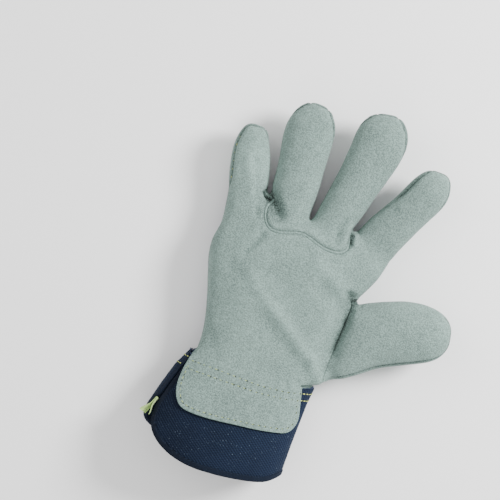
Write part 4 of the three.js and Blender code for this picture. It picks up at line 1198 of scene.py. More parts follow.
# %% A finish and its nodes
class Made:
    """A node that was added, with its outputs by name."""

    def __init__(self, finish, node):
        self.finish = finish
        self.node = node

    def out(self, name):
        return next(s for s in self.node.outputs if s.name == name and s.enabled)

    def value(self, name=None):
        socket = self.out(name) if name else next(s for s in self.node.outputs if s.enabled)
        return Value(self.finish, socket)


class Finish:
    """A material with one shader, and the one way to add nodes to it."""

    def __init__(self, name, roughness=0.9, specular=0.25, sheen=0, sheen_tint=(1, 1, 1)):
        self.material = bpy.data.materials.new(name)
        self.material.use_nodes = True
        self.tree = self.material.node_tree
        self.shader = self.tree.nodes["Principled BSDF"]
        self.shader.inputs["Roughness"].default_value = roughness
        self.shader.inputs["Specular IOR Level"].default_value = specular
        self.shader.inputs["Sheen Weight"].default_value = sheen
        self.shader.inputs["Sheen Roughness"].default_value = 0.45
        self.shader.inputs["Sheen Tint"].default_value = (*sheen_tint, 1)

    def join(self, value, socket):
        if isinstance(value, Value):
            value = value.socket
        if isinstance(value, bpy.types.NodeSocket):
            self.tree.links.new(value, socket)
        elif socket.type == "RGBA" and len(value) == 3:
            socket.default_value = (*value, 1)
        else:
            socket.default_value = value

    def add(self, kind, settings=None, values=None):
        """A node of a type, its settings first and then the values or links of its sockets."""
        node = self.tree.nodes.new(kind)
        for key, setting in (settings or {}).items():
            setattr(node, key, setting)
        for key, value in (values or {}).items():
            if isinstance(key, int):
                socket = node.inputs[key]
            else:
                socket = next(s for s in node.inputs if s.name == key and s.enabled)
            self.join(value, socket)
        return Made(self, node)

    def places(self):
        return self.add("ShaderNodeTexCoord").out("Object")

    def mark(self, name):
        """A number that the mesh carries at its points, or 0 where it carries none."""
        return self.add("ShaderNodeAttribute", {"attribute_name": name}).value("Fac")

    def noise(self, size, detail=2, rough=0.5, at=None, stretch=(1, 1, 1), turn=0):
        """A noise from 0 to 1 whose features are about this many metres across."""
        settings = {"vector_type": "POINT"}
        values = {"Vector": at or self.places(), "Scale": stretch, "Rotation": (0, 0, turn)}
        mapped = self.add("ShaderNodeMapping", settings, values).out("Vector")
        values = {"Vector": mapped, "Scale": 1 / size, "Detail": detail, "Roughness": rough}
        return self.add("ShaderNodeTexNoise", None, values).value("Fac")

    def mix(self, amount, one, other, blend="MIX"):
        """A colour between two others, or their product."""
        settings = {"data_type": "RGBA", "blend_type": blend}
        return self.add("ShaderNodeMix", settings, {"Factor": amount, "A": one, "B": other}).out("Result")

    def dim(self, colour, amount):
        """A colour multiplied by a number."""
        grey = self.add("ShaderNodeCombineColor", None, {"Red": amount, "Green": amount, "Blue": amount})
        return self.mix(1.0, colour, grey.out("Color"), "MULTIPLY")

    def colour(self, value):
        self.join(value, self.shader.inputs["Base Color"])

    def bump(self, height, deep):
        """Height is a number from 0 to 1, deep the metres that it stands for."""
        values = {"Height": height, "Distance": deep, "Strength": 1.0}
        self.join(self.add("ShaderNodeBump", None, values).out("Normal"), self.shader.inputs["Normal"])


# %% [markdown]
# ## Suede
# Split leather has a nap: short fibres that catch the light as fine specks, with darker and
# lighter patches where they were brushed. Hair would be true but far too heavy, so four noises
# make the patches and specks in colour, the two finest also lift the surface, and a sheen gives
# the soft bright edge. The attribute named shade paints light and shade into the colour: ridges
# are painted paler than valleys, seams, creases, pockets and crotches are painted darker, and
# some broad places are paler or darker.

# %% The finishes of the leather
def suede(name, base, grain=1.0):
    made = Finish(name, roughness=0.95, specular=0.12, sheen=0.1, sheen_tint=(0.85, 1, 0.95))
    patches = made.noise(0.028, detail=3, rough=0.6).between(0.32, 0.68)
    brushed = made.noise(0.0046, detail=3, rough=0.62, stretch=(1, 0.55, 1), turn=0.5).between(0.32, 0.68)
    specks = made.noise(0.00095, detail=2, rough=0.6).between(0.34, 0.66)
    fibres = made.noise(0.0005, detail=2, rough=0.7).between(0.3, 0.7)
    tone = 0.5 + 0.1 * patches + 0.11 * brushed + grain * 0.54 * specks + grain * 0.22 * fibres
    # painted light and shade, from the attribute named shade
    tone = tone + made.mark("shade")
    made.colour(made.dim(base, tone))
    made.bump(0.6 * specks + 0.4 * fibres, 0.00026 * grain)
    return made.material


SUEDE = (0.172, 0.244, 0.22)
suede_finish = suede("suede", SUEDE)
strap_finish = suede("strap_suede", (0.235, 0.31, 0.28), grain=1.3)
welt_finish = suede("welt_suede", SUEDE)

# %% [markdown]
# ## Twill
# The back is a navy cotton twill: diagonal ribs with a pale weft thread that peeps out as flecks.
# A sine wave across the ribs gives the diagonal, a second one cuts them into stitches, and a
# stretched noise picks the few flecks. The pattern follows the cloth's own UV map, in metres, so
# it bends with the cloth.

# %% The finishes of the cloth
TWILL_PITCH = 0.0016
FLECK = (0.24, 0.31, 0.38)


def twill(name, blues, flecks, ribs=(0.8, 0.6), ribbed=0.5):
    """Navy twill; its ribs run across the direction that is given on the flat cloth."""
    made = Finish(name, roughness=0.88, specular=0.1, sheen=0.03, sheen_tint=(0.6, 0.75, 1))
    cloth = made.add("ShaderNodeUVMap", {"uv_map": "cloth"}).out("UV")
    split = made.add("ShaderNodeSeparateXYZ", None, {"Vector": cloth})
    u, v = split.value("X"), split.value("Y")
    uneven = made.noise(0.009, detail=2, at=cloth)
    across = (u * ribs[0] + v * ribs[1]) * (2 * math.pi / TWILL_PITCH) + uneven * 3
    rib = across.wave()
    along = (v * ribs[0] - u * ribs[1]) * (2 * math.pi / (TWILL_PITCH * 1.15)) + across * 0.5
    along = along.wave()
    yarn = made.noise(0.0007, detail=2, rough=0.7, at=cloth)
    worn = made.noise(0.018, detail=4, rough=0.6, at=cloth)
    body = rib * ribbed + along * 0.16 + yarn * (1.06 - ribbed)
    tone = made.mix(body.between(0.2, 1.05), *blues)
    # worn is the cloth's own wear; the mark named shade is painted light and shade: ridges and creases on
    # the back, darker towards the slit on the cuff and hem
    tone = made.dim(tone, 0.72 + worn * 0.56 + made.mark("shade"))
    fleck = made.noise(0.0007, detail=1, rough=0.5, at=cloth, stretch=(1, 0.6, 1), turn=0.64)
    where = made.noise(0.012, detail=2, at=cloth)
    amount = (fleck + where * 0.16).between(flecks, flecks + 0.09)
    made.colour(made.mix(amount * 0.34, tone, FLECK))
    made.bump(rib * 0.6 + along * 0.25 + yarn * 0.3, 0.0003)
    return made.material


BACK_BLUES = ((0.006, 0.012, 0.032), (0.032, 0.056, 0.115))  # between the ribs, and on them
CUFF_BLUES = ((0.0024, 0.0048, 0.0125), (0.0122, 0.0218, 0.0455))
# darker than the cuff's blues: painted shade on the rolled hem
HEM_BLUES = ((0.0026, 0.0045, 0.01), (0.011, 0.0175, 0.034))
CUFF_RIBS = (0.62, 0.79)
CUFF_RIBBED = 0.32
back_finish = twill("back_twill", BACK_BLUES, 0.76)
cuff_finish = twill("cuff_twill", CUFF_BLUES, 0.76, CUFF_RIBS, CUFF_RIBBED)
hem_finish = twill("hem_twill", HEM_BLUES, 0.8, CUFF_RIBS, CUFF_RIBBED)


def thread(name, colour):
    """Twisted thread: fine slanting ridges."""
    made = Finish(name, roughness=0.6, sheen=0.2)
    twist = made.noise(0.0003, detail=1, stretch=(1, 3, 1), turn=0.8)
    made.colour(made.dim(colour, 0.72 + twist * 0.5))
    made.bump(twist, 0.0001)
    return made.material


yellow_thread = thread("yellow_thread", (0.56, 0.62, 0.16))
dull_thread = thread("dull_thread", (0.38, 0.48, 0.15))
blue_thread = thread("blue_thread", (0.38, 0.5, 0.68))
navy_thread = thread("navy_thread", (0.03, 0.05, 0.11))
# a dark finish that paints the shade inside the needle holes
hole_shade_finish = thread("needle_hole_shade", (0.03, 0.036, 0.026))


def tape(name, colour):
    """Woven tape with fine cross ribs, 0.6 mm apart."""
    made = Finish(name, roughness=0.55, sheen=0.3)
    uv = made.add("ShaderNodeUVMap", {"uv_map": "cloth"}).out("UV")
    along = made.add("ShaderNodeSeparateXYZ", None, {"Vector": uv}).value("X")
    ribs = (along * (2 * math.pi / 0.0006)).wave()
    cloudy = made.noise(0.003, detail=2)
    made.colour(made.dim(colour, 0.62 + ribs * 0.22 + cloudy * 0.34))
    made.bump(ribs, 0.00015)
    return made.material


label_finish = tape("label_tape", (0.42, 0.6, 0.2))
print("finishes:", [material.name for material in bpy.data.materials])

# %% [markdown]
# ## Sewing the panels
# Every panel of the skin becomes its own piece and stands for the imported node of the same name.

# %% Make the sewn panels
SHARP_FROM = math.radians(50)


def dress(name, places, faces, finish, node, cloth=None, marks=None):
    """A finished piece from pattern mm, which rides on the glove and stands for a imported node."""
    places[:, 2] = np.maximum(places[:, 2], 0)
    mesh = bpy.data.meshes.new(name)
    mesh.from_pydata(to_frame(places), [], faces)
    mesh.shade_smooth()
    mesh.set_sharp_from_angle(angle=SHARP_FROM)
    mesh.materials.append(finish)
    if cloth is not None:
        corners = read(mesh.loops, "vertex_index", int)
        layer = mesh.uv_layers.new(name="cloth")
        layer.data.foreach_set("uv", (np.asarray(cloth) * MM)[corners].ravel())
    for label, values in (marks or {}).items():
        mesh.attributes.new(label, "FLOAT", "POINT").data.foreach_set("value", values)
    piece = put(name, mesh)
    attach(piece, "root")
    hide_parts(node)


LOWEST_PANEL = 0.2
open_rim = {pair(a, b) for a, b, _ in rim_of(skin_quads)}
thumb_points = set(points_of(of_panel("thumb_leather") | of_panel("thumb_back")).tolist())


def edge_kind(a, b):
    """How the edge of a panel is rolled between two of its points."""
    if pair(a, b) in open_rim:
        return CUT
    if a in welt_points and b in welt_points:
        return BESIDE_WELT
    if flush_all[a] > 0.5:
        return FLUSH
    if a in thumb_points and b in thumb_points:
        return THUMB_TURNED
    return TURNED


def cloth_map(places):
    """The cloth laid flat: across the back and on up the little-finger side, and along the hand."""
    return np.stack([places[:, 0] - places[:, 2], places[:, 1]], axis=1)


shade_all = with_twins(shade)
flush_all = with_twins(flush)
skin_and_twins, normals_and_twins = with_twins(skin), with_twins(skin_normals)
for node in [panel for panel in PANELS if panel not in PART_OF]:
    is_cloth = node == "back_denim"
    wall = DENIM if is_cloth else LEATHER
    places, faces, source = panel_solid(skin_and_twins, normals_and_twins, faces_of(node), wall, edge_kind)
    places[:, 2] = np.maximum(places[:, 2], LOWEST_PANEL)
    dress(
        node.replace("leather", "suede").replace("denim", "twill") + "_sewn",
        places,
        faces,
        back_finish if is_cloth else suede_finish,
        node=node,
        cloth=cloth_map(places) if is_cloth else None,
        marks={"shade": shade_all[source]},
    )
    print(node, len(faces) * 2, "triangles")

# %% The strap over the knuckles
STRAP_EDGE = Edge(0, 0.5)
strap_faces = skin_quads[of_zone("strap")]
strap_faces = strap_faces[skin[strap_faces][:, :, 2].mean(axis=1) < STRAP_BELOW]
strap_skin = skin.copy()
strap_skin[:, 2] = np.maximum(strap_skin[:, 2], BACK_Z)
places, faces, source = panel_solid(
    strap_skin, skin_normals, strap_faces, STRAP, lambda a, b: STRAP_EDGE, outside=LAY_GAP + STRAP
)
dress(
    "knuckle_strap_sewn", places, faces, strap_finish, node="knuckle_strap",
    marks={"shade": shade_all[source]},
)
print("strap:", len(faces) * 2, "triangles")

# %% [markdown]
# ## Strips that follow a path
# The welt, the hem and the label are strips: one closed section carried along a path. A curve
# with a bevel would do it, but its section turns as it likes. Here every step of the path brings
# its own two directions, so the section stays upright on the leather.

# %% The welt below the two middle fingers
def strip(path, sides, ups, sections):
    """A closed sweep: at every step the section's points go along its side and its up."""
    steps, count = len(path), len(sections[0])
    places = []
    for point, side, up, section in zip(path, sides, ups, sections):
        places += [point + side * s + up * h for s, h in section]
    faces = []
    for i in range(steps - 1):
        for k in range(count):
            a, b = i * count + k, i * count + (k + 1) % count
            faces.append((a, a + count, b + count, b))
    faces.append(tuple(range(count)))
    faces.append(tuple(range((steps - 1) * count, steps * count))[::-1])
    return np.array(places), faces


def finer(points, times=3):
    """The same path with more steps, rounded by a moving average."""
    points = np.asarray(points)
    keys = np.arange(len(points))
    at = np.linspace(0, len(points) - 1, (len(points) - 1) * times + 1)
    dense = np.stack([np.interp(at, keys, column) for column in points.T], axis=1)
    return rounded(dense, times * 2)


welt_path = finer(skin[welt_chain])
welt_up = unit(finer(skin_normals[welt_chain]))
welt_side = unit(np.cross(np.gradient(welt_path, axis=0), welt_up))
half = WELT / 2
WELT_SECTION = [(-half, -1.4), (half, -1.4), (half, -0.4), (half * 0.8, -0.1), (half * 0.3, 0.06),
                (-half * 0.3, 0.06), (-half * 0.8, -0.1), (-half, -0.4)]
places, faces = strip(welt_path, welt_side, welt_up, [WELT_SECTION[::-1]] * len(welt_path))
dress("gunn_welt_sewn", places, faces, welt_finish, node="gunn_welt")
print("welt:", len(welt_path), "steps")

# %% [markdown]
# ## The cuff
# The cuff is a stiff strip of twill with round corners beside the slit. It is drawn flat first, as
# it is cut, with s running round the wrist and y along the hand, and then rolled on to the tube.

# %% The cuff's cloth, flat and rolled
GIRTH = 246  # mm of cloth round the wrist
HEM = 4.0  # mm that the hem is wide
HEM_BULGE = 0.5
CORNER_ROUND = 46  # mm of the round corner along the mouth
CORNER_HIGH = 28  # and up the slit
CORNER_STEPS = 16
CUFF_STEPS = 88
RISE_STEPS = 24
MOUTH_ROUNDS = 10
CuffEdge = namedtuple("CuffEdge", "at top hem")
CUFF_EDGES = [
    CuffEdge(0, -54.5, -123),
    CuffEdge(0.2, -54.5, -124),
    CuffEdge(0.26, -54.5, -123.6),
    CuffEdge(0.34, -54.5, -121.6),
    CuffEdge(0.385, -51, -119.4),
    CuffEdge(0.43, -49, -113),
    CuffEdge(0.5, -48.4, -112),
    CuffEdge(0.7, -48, -113),
    CuffEdge(0.94, -48, -109.5),
    CuffEdge(1, -52, -108.5),
]


def edge_at(s):
    """The two ends of the cloth, up the hand and at the mouth, s mm round the wrist."""
    return blended(CUFF_EDGES, "at", s / GIRTH)


def rolled(s, y):
    """Places of the tube's outside for cloth places s, y."""
    x, z = cuff_section(y)
    steps = np.hypot(np.diff(x), np.diff(z))
    lengths = np.pad(np.cumsum(steps, axis=1), ((0, 0), (1, 0)))
    wanted = np.clip(np.asarray(s) / GIRTH, 0, 1) * lengths[:, -1]
    px = [np.interp(w, row, xs) for w, row, xs in zip(wanted, lengths, x)]
    pz = [np.interp(w, row, zs) for w, row, zs in zip(wanted, lengths, z)]
    return np.stack([px, y, pz], axis=1)


# %% The cut edge of the cuff's cloth
def cuff_outline():
    """The cut edge of the cloth: down the slit, round the corner, along the mouth and back up."""
    corner = CORNER_ROUND * (1 - np.cos(np.linspace(0, math.pi / 2, CORNER_STEPS + 1)))
    drop = CORNER_HIGH * (1 - np.sin(np.linspace(0, math.pi / 2, CORNER_STEPS + 1)))
    left = [(s, edge_at(s).hem + d) for s, d in zip(corner, drop)]
    right = [(GIRTH - s, edge_at(GIRTH - s).hem + d) for s, d in zip(corner, drop)]
    down = [(0, lerp(edge_at(0).top, left[0][1], t)) for t in np.arange(RISE_STEPS) / RISE_STEPS]
    up = [(GIRTH, lerp(edge_at(GIRTH).top, right[0][1], t)) for t in np.arange(RISE_STEPS) / RISE_STEPS]
    along = np.linspace(CORNER_ROUND, GIRTH - CORNER_ROUND, CUFF_STEPS + 1)[1:-1]
    mouth = [(s, edge_at(s).hem) for s in along]
    line = np.array(down + left + mouth + right[::-1] + up[::-1], dtype=float)
    mouth_only = slice(RISE_STEPS + CORNER_STEPS, -RISE_STEPS - CORNER_STEPS)
    line[mouth_only, 1] = rounded(line[mouth_only, 1], MOUTH_ROUNDS)
    return line


outline = cuff_outline()
way = unit(np.gradient(outline, axis=0))
way[0], way[-1] = (0, -1), (0, 1)
inner_line = outline + np.stack([-way[:, 1], way[:, 0]], axis=1) * HEM
hem_outer = rolled(*outline.T)
hem_inner = rolled(*inner_line.T)

# %% Roll the cuff
columns = []
for i in range(RISE_STEPS, len(outline) - RISE_STEPS):
    s, y = inner_line[i]
    columns.append([(s, lerp(y, float(edge_at(s).top), t)) for t in np.linspace(0, 1, RISE_STEPS + 1)])
cloth_flat = np.array(columns).reshape(-1, 2)
cuff_skin = rolled(*cloth_flat.T)
tall = RISE_STEPS + 1
cuff_quads = np.array([
    (c * tall + r, (c + 1) * tall + r, (c + 1) * tall + r + 1, c * tall + r + 1)
    for c in range(len(columns) - 1)
    for r in range(RISE_STEPS)
])
outward = vertex_normals(cuff_skin, cuff_quads)
CLOTH_EDGE = Edge(0, 0.3)


def painted_slit_shade(s):
    """Shade painted on the cloth, darker near the slit."""
    return -0.3 * (1 - ramp(s, start=14, over=86))


places, faces, source = panel_solid(cuff_skin, outward, cuff_quads, CUFF_WALL, lambda a, b: CLOTH_EDGE)
dress(
    "safety_cuff_twill", places, faces, cuff_finish, node="safety_cuff",
    cloth=cloth_flat[source], marks={"shade": painted_slit_shade(cloth_flat[source, 0])},
)
print("cuff:", len(faces) * 2, "triangles")

# %% [markdown]
# The hem is the same cloth turned over, so it is thicker and round outside, and its colour is
# painted darker as shade on the rolled edge. It is a strip along the cloth's edge, thin where
# the tab or the floor presses it.

# %% The turned hem
hem_side = unit(hem_inner - hem_outer)
hem_up = cuff_normals(hem_outer)
NOSE = np.radians(np.linspace(90, -90, 9))
HEM_POINTS = len(NOSE) + 4
HEM_THICK = 0.6  # mm of cloth from one point of the section to the next


def hem_section(bulge):
    """Points across the hem: s inward from the edge and h above the tube's outside."""
    r = CUFF_WALL / 2 + bulge
    width = HEM + 0.1  # it laps over the cloth's edge, so no light comes through
    nose = [(r - r * math.cos(a), -CUFF_WALL / 2 + r * math.sin(a)) for a in NOSE]
    below = [(width - 0.5, -CUFF_WALL - bulge), (width, -CUFF_WALL + 0.2)]
    return nose + below + [(width, -0.2), (width - 0.5, bulge)]


round_here = ramp(-hem_outer[:, 1], start=76, over=10) * ramp(hem_outer[:, 2], start=1, over=8)
places, faces = strip(hem_outer, hem_side, hem_up, [hem_section(HEM_BULGE * f) for f in round_here])
round_the_hem = np.tile([[0, k * HEM_THICK] for k in range(HEM_POINTS)], (len(outline), 1))
hem_flat = np.repeat(outline, HEM_POINTS, axis=0) + round_the_hem
dress(
    "cuff_hem_twill", places, faces, hem_finish, node="cuff_hem",
    cloth=hem_flat, marks={"shade": painted_slit_shade(hem_flat[:, 0])},
)
print("hem:", len(outline), "steps")

# %% [markdown]
# ## The size label
# A short tape folded in two is caught in the slit. It is one strip that goes in, turns round its
# fold and comes out again, and its two ends stand a little apart.

# %% The folded tape
LABEL_AT = np.array([-51.3, -85.8, 30.8])  # where the tape's fold is
LABEL_ALONG = unit(np.array([-0.36, -0.93, 0.06]))  # from the fold to the two ends
LABEL_OUT = np.array([-0.2, 0.06, 0.98])  # away from the cuff
LABEL_ACROSS = unit(np.cross(LABEL_OUT, LABEL_ALONG))
LABEL_LONG = 13.5
LABEL_OPEN = 4.4  # mm between the two ends
LABEL_HIGH = 6.4  # the width of the tape
TAPE = 0.45  # and its thickness
LEAF_TWIST = (-45, 10)  # degrees that the far ends of the lower and the upper leaf lean over

leaf = np.linspace(0, 1, 15)
spread = LABEL_OPEN / 2 * ramp(leaf, start=0.35, over=0.65) + 0.32
lower = [(LABEL_LONG * t, -w) for t, w in zip(leaf[::-1], spread[::-1])]
upper = [(LABEL_LONG * 0.93 * t, w) for t, w in zip(leaf, spread)]
turn = [(-0.3 * math.cos(a), 0.32 * math.sin(a)) for a in np.radians([-60, -25, 25, 60])]
flat_path = np.array(lower[:-1] + turn + upper[1:])
label_path = LABEL_AT + flat_path[:, :1] * LABEL_ALONG + flat_path[:, 1:] * LABEL_ACROSS
twist = np.concatenate([LEAF_TWIST[0] * leaf[:0:-1] ** 1.5, np.zeros(len(turn)), LEAF_TWIST[1] * leaf[1:]])
twist = np.radians(twist)[:, None]
label_up = unit(np.cross(LABEL_ALONG, LABEL_ACROSS))
label_ups = np.cos(twist) * label_up + np.sin(twist) * LABEL_ACROSS
label_normals = unit(np.cross(np.gradient(label_path, axis=0), label_ups))
half, thick = LABEL_HIGH / 2, TAPE / 2
section = [(-half, -thick * 0.5), (-half, thick * 0.5), (-half + 0.3, thick), (half - 0.3, thick),
           (half, thick * 0.5), (half, -thick * 0.5), (half - 0.3, -thick), (-half + 0.3, -thick)]
places, faces = strip(label_path, label_ups, label_normals, [section] * len(label_path))
run = run_of(label_path)
label_flat = np.array([(r, s) for r in run for s, _ in section])
dress("size_label_tape", places, faces, label_finish, node="size_label", cloth=label_flat)
print("label:", round(run[-1], 1), "mm of tape")

# %% [markdown]
# ## Stitches
# A lockstitch shows as short threads in a row that dip into the leather at both ends. Each row
# is a path, and Geometry Nodes put one stitch on every step of it, because a row that is nodes
# can be made denser or thicker with one number. The same tree, with a round short stitch and a
# dark finish, makes the needle holes: their dark is painted shade inside the holes.

# %% A tree for rows of stitches
def joined(tree, kind, links, **settings):
    """A geometry node's first output, after its settings and the values or links of its inputs."""
    node = tree.nodes.new(kind)
    for key, setting in settings.items():
        setattr(node, key, setting)
    for key, value in links.items():
        by_name = (s for s in node.inputs if s.name == key and s.enabled)
        socket = node.inputs[key] if isinstance(key, int) else next(by_name)
        if isinstance(value, bpy.types.NodeSocket):
            tree.links.new(value, socket)
        else:
            socket.default_value = value
    return next(s for s in node.outputs if s.enabled)


def row_tree(name, sizes, shape):
    """A tree that puts a shape on every step of a path; its inputs are sizes and a finish."""
    tree = bpy.data.node_groups.new(name, "GeometryNodeTree")
    tree.interface.new_socket("Geometry", in_out="INPUT", socket_type="NodeSocketGeometry")
    for size in sizes:
        tree.interface.new_socket(size, in_out="INPUT", socket_type="NodeSocketFloat")
    tree.interface.new_socket("Finish", in_out="INPUT", socket_type="NodeSocketMaterial")
    tree.interface.new_socket("Geometry", in_out="OUTPUT", socket_type="NodeSocketGeometry")
    given = tree.nodes.new("NodeGroupInput").outputs
    end = tree.nodes.new("NodeGroupOutput")
    path = joined(tree, "GeometryNodeMeshToCurve", {"Mesh": given["Geometry"]})
    steps = {"Curve": path, "Length": given["Pitch"]}
    steps = joined(tree, "GeometryNodeResampleCurve", steps, mode="LENGTH")
    placed = joined(tree, "GeometryNodeInstanceOnPoints", {"Points": steps, **shape(tree, given)})
    real = joined(tree, "GeometryNodeRealizeInstances", {"Geometry": placed})
    done = joined(tree, "GeometryNodeSetMaterial", {"Geometry": real, "Material": given["Finish"]})
    tree.links.new(done, end.inputs["Geometry"])
    return tree


def stitch(tree, given):
    """A long ball along the path, a little longer or shorter each time."""
    ball = joined(tree, "GeometryNodeMeshUVSphere", {"Segments": 7, "Rings": 6, "Radius": 1.0})
    tangent = joined(tree, "GeometryNodeInputTangent", {})
    turn = joined(tree, "FunctionNodeAlignRotationToVector", {"Vector": tangent}, axis="X")
    half_long = joined(tree, "ShaderNodeMath", {0: given["Length"], 1: 0.5}, operation="MULTIPLY")
    size = {"X": half_long, "Y": given["Radius"], "Z": given["Radius"]}
    size = joined(tree, "ShaderNodeCombineXYZ", size)
    least = joined(tree, "ShaderNodeMath", {0: 1.0, 1: given["Uneven"]}, operation="SUBTRACT")
    luck = {"Min": least, "Max": 1.0, "Seed": 7}
    luck = joined(tree, "FunctionNodeRandomValue", luck, data_type="FLOAT")
    scale = joined(tree, "ShaderNodeVectorMath", {"Vector": size, "Scale": luck}, operation="SCALE")
    return {"Instance": ball, "Rotation": turn, "Scale": scale}


# %% Grow rows along paths
def grown(name, chains, tree, values):
    """A piece that a tree grows along chains of pattern places."""
    points, edges = [], []
    for chain in chains:
        start = len(points)
        points += list(chain)
        edges += [(start + i, start + i + 1) for i in range(len(chain) - 1)]
    mesh = bpy.data.meshes.new(name)
    mesh.from_pydata(to_frame(points), edges, [])
    piece = put(name, mesh)
    grower = piece.modifiers.new("grow", "NODES")
    grower.node_group = tree
    for item in tree.interface.items_tree:
        if item.in_out == "INPUT" and item.name in values:
            grower[item.identifier] = values[item.name]
    made = applied(piece)
    made.shade_smooth()
    piece.modifiers.clear()
    piece.data = made
    bpy.data.meshes.remove(mesh)
    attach(piece, "root")
    print(name, len(made.polygons), "faces")


STITCHES = row_tree("row_of_stitches", ("Pitch", "Length", "Radius", "Uneven"), stitch)


def stitches(name, chains, finish, pitch, length, radius, uneven=0.12):
    """Rows of stitches whose sizes are given in mm."""
    values = {"Pitch": pitch * MM, "Length": length * MM, "Radius": radius * MM}
    grown(name, chains, STITCHES, {**values, "Uneven": uneven, "Finish": finish})


# %% Rows round the cuff
StitchRow = namedtuple("StitchRow", "at first second")
CUFF_STITCHES = [
    StitchRow(0.02, -54.4, -60.4),
    StitchRow(0.1, -55, -60.8),
    StitchRow(0.25, -57, -62),
    StitchRow(0.33, -56.2, -61.2),
    StitchRow(0.37, -54.6, -59.6),
    StitchRow(0.44, -53, -58.2),
    StitchRow(0.52, -52.4, -58),
    StitchRow(0.94, -52, -58),
    StitchRow(0.985, -52.6, -58.6),
]
TAB_LEFT, TAB_RIGHT = -37.5, 41.4  # between these x the rows run over the tab
UPPER_SIDE = 20  # z that only the cuff's upper side reaches
ROW_STEPS = 260
THREAD = 0.32


def cuff_row(which):
    """Chains of a row round the cuff: over the tab, and over the cloth."""
    at = np.linspace(CUFF_STITCHES[0].at, CUFF_STITCHES[-1].at, ROW_STEPS)
    y = getattr(blended(CUFF_STITCHES, "at", at), which)
    places = rolled(at * GIRTH, y)
    normal = cuff_normals(places)
    on_tab = (places[:, 0] > TAB_LEFT) & (places[:, 0] < TAB_RIGHT) & (places[:, 2] > UPPER_SIDE)
    tab = places[on_tab] + normal[on_tab] * TAB_LAY
    rest = places + normal * THREAD * 0.5
    left = rest[: on_tab.argmax()]
    right = rest[len(on_tab) - on_tab[::-1].argmax():]
    right[:, 2] = np.maximum(right[:, 2], THREAD * 0.5)  # below, the thread is pressed into the cloth
    return tab, [chain for chain in (left, right) if len(chain) > 2]


tab_rows, cloth_rows = [], []
for which in ("first", "second"):
    tab, rest = cuff_row(which)
    tab_rows.append(tab)
    cloth_rows += rest
stitches("cuff_stitches", cloth_rows, yellow_thread, pitch=3.1, length=2.5, radius=THREAD)


# %% The row round the tab, and the painted shade of its needle holes
def chained(pairs):
    """Directed pairs of points in one order, from the pair that nothing leads to."""
    onward = dict(pairs)
    start = next(iter(set(onward) - set(onward.values())), pairs[0][0])
    chain = [start]
    while chain[-1] in onward and onward[chain[-1]] != start:
        chain.append(onward[chain[-1]])
    return chain


TAB_MARGIN = 3.0  # the row runs this far inside the cut edge
tab_outer = [edge for edge in rim_of(skin_quads[of_zone("tab")]) if pair(*edge[:2]) in open_rim]
inward_at = {}
for a, b, face in tab_outer:
    for v in (a, b):
        inward_at[v] = inward_at.get(v, 0) + inward_of(skin, a, b, face)
tab_chain = [v for v in chained([(a, b) for a, b, _ in tab_outer]) if skin[v, 1] < -58]
tab_edge = [skin[v] + unit(inward_at[v]) * TAB_MARGIN for v in tab_chain]
tab_edge = laid_on_cuff(finer(tab_edge, 2), TAB_LAY)
leather_rows = tab_rows + [tab_edge]
TAB_PITCH = 4.2
sunk = [row - np.array([0, 0, 0.1]) for row in leather_rows]
stitches("tab_stitches", sunk, dull_thread, TAB_PITCH, length=2.6, radius=0.28, uneven=0.3)


def shifted(chain, by):
    """The chain without its first stretch, so that the next row falls between the stitches."""
    run = run_of(chain)
    first = np.array([np.interp(by, run, chain[:, i]) for i in range(3)])
    return np.concatenate([[first], chain[run > by]])


# short dark balls between the stitches: painted shade of the needle holes
holes = [shifted(row, TAB_PITCH / 2) for row in leather_rows]
stitches("needle_holes", holes, hole_shade_finish, TAB_PITCH, length=1.3, radius=0.56, uneven=0.4)

# %% The few stitches that show beside the little finger
LITTLE_FROM, LITTLE_TO = 74, 104  # y
outer_seam = seam_between("palm_leather", "fingertip_little")
x, y, _ = skin[outer_seam].T
shown = (y > LITTLE_FROM) & (y < LITTLE_TO) & (x < np.interp(y, *FINGER_MIDDLES["little"]))
outer_seam = outer_seam[shown]
outer_seam = outer_seam[np.argsort(skin[outer_seam, 1], kind="stable")]
little_row = skin[outer_seam] + skin_normals[outer_seam] * 0.1
stitches("little_stitches", [little_row], yellow_thread, pitch=5.2, length=1.7, radius=0.22, uneven=0.5)

# %% [markdown]
# The rows of the back follow its pleats, so they are dropped on to the finished skin from below.

# %% The two rows of the elastic
ELASTIC_X = np.linspace(-38, 22, 160)
UNDER = -30  # z that is well below the glove
BACK_HIGHEST = 11  # z that the back stays below
skin_tree = BVHTree.FromPolygons(skin.tolist(), skin_quads.tolist())


def below(x, y, off):
    """The place under the back at x, y, a little off the cloth, or nothing."""
    hit, normal, _, _ = skin_tree.ray_cast(Vector((x, y, UNDER)), Vector((0, 0, 1)))
    return None if hit is None else np.array(hit + normal * off)


def row_below(xs, y, off):
    """A row under the back, without what would lie on the glove's other side."""
    found = [below(x, y, off) for x in xs]
    return np.array([place for place in found if place is not None and place[2] < BACK_HIGHEST])


elastic = [row_below(ELASTIC_X, y, off=0.1) for y in ELASTIC_ROWS]
stitches("elastic_stitches", elastic, blue_thread, pitch=2.6, length=2.0, radius=0.26)
print("rows on the back:", [len(row) for row in elastic])

# %% [markdown]
# ## The frayed edge
# The cuff's cloth is cut, not turned, where it meets the hand, and its threads stick out. They
# are many short fibres at slightly different angles, so Geometry Nodes scatter them with a seed.

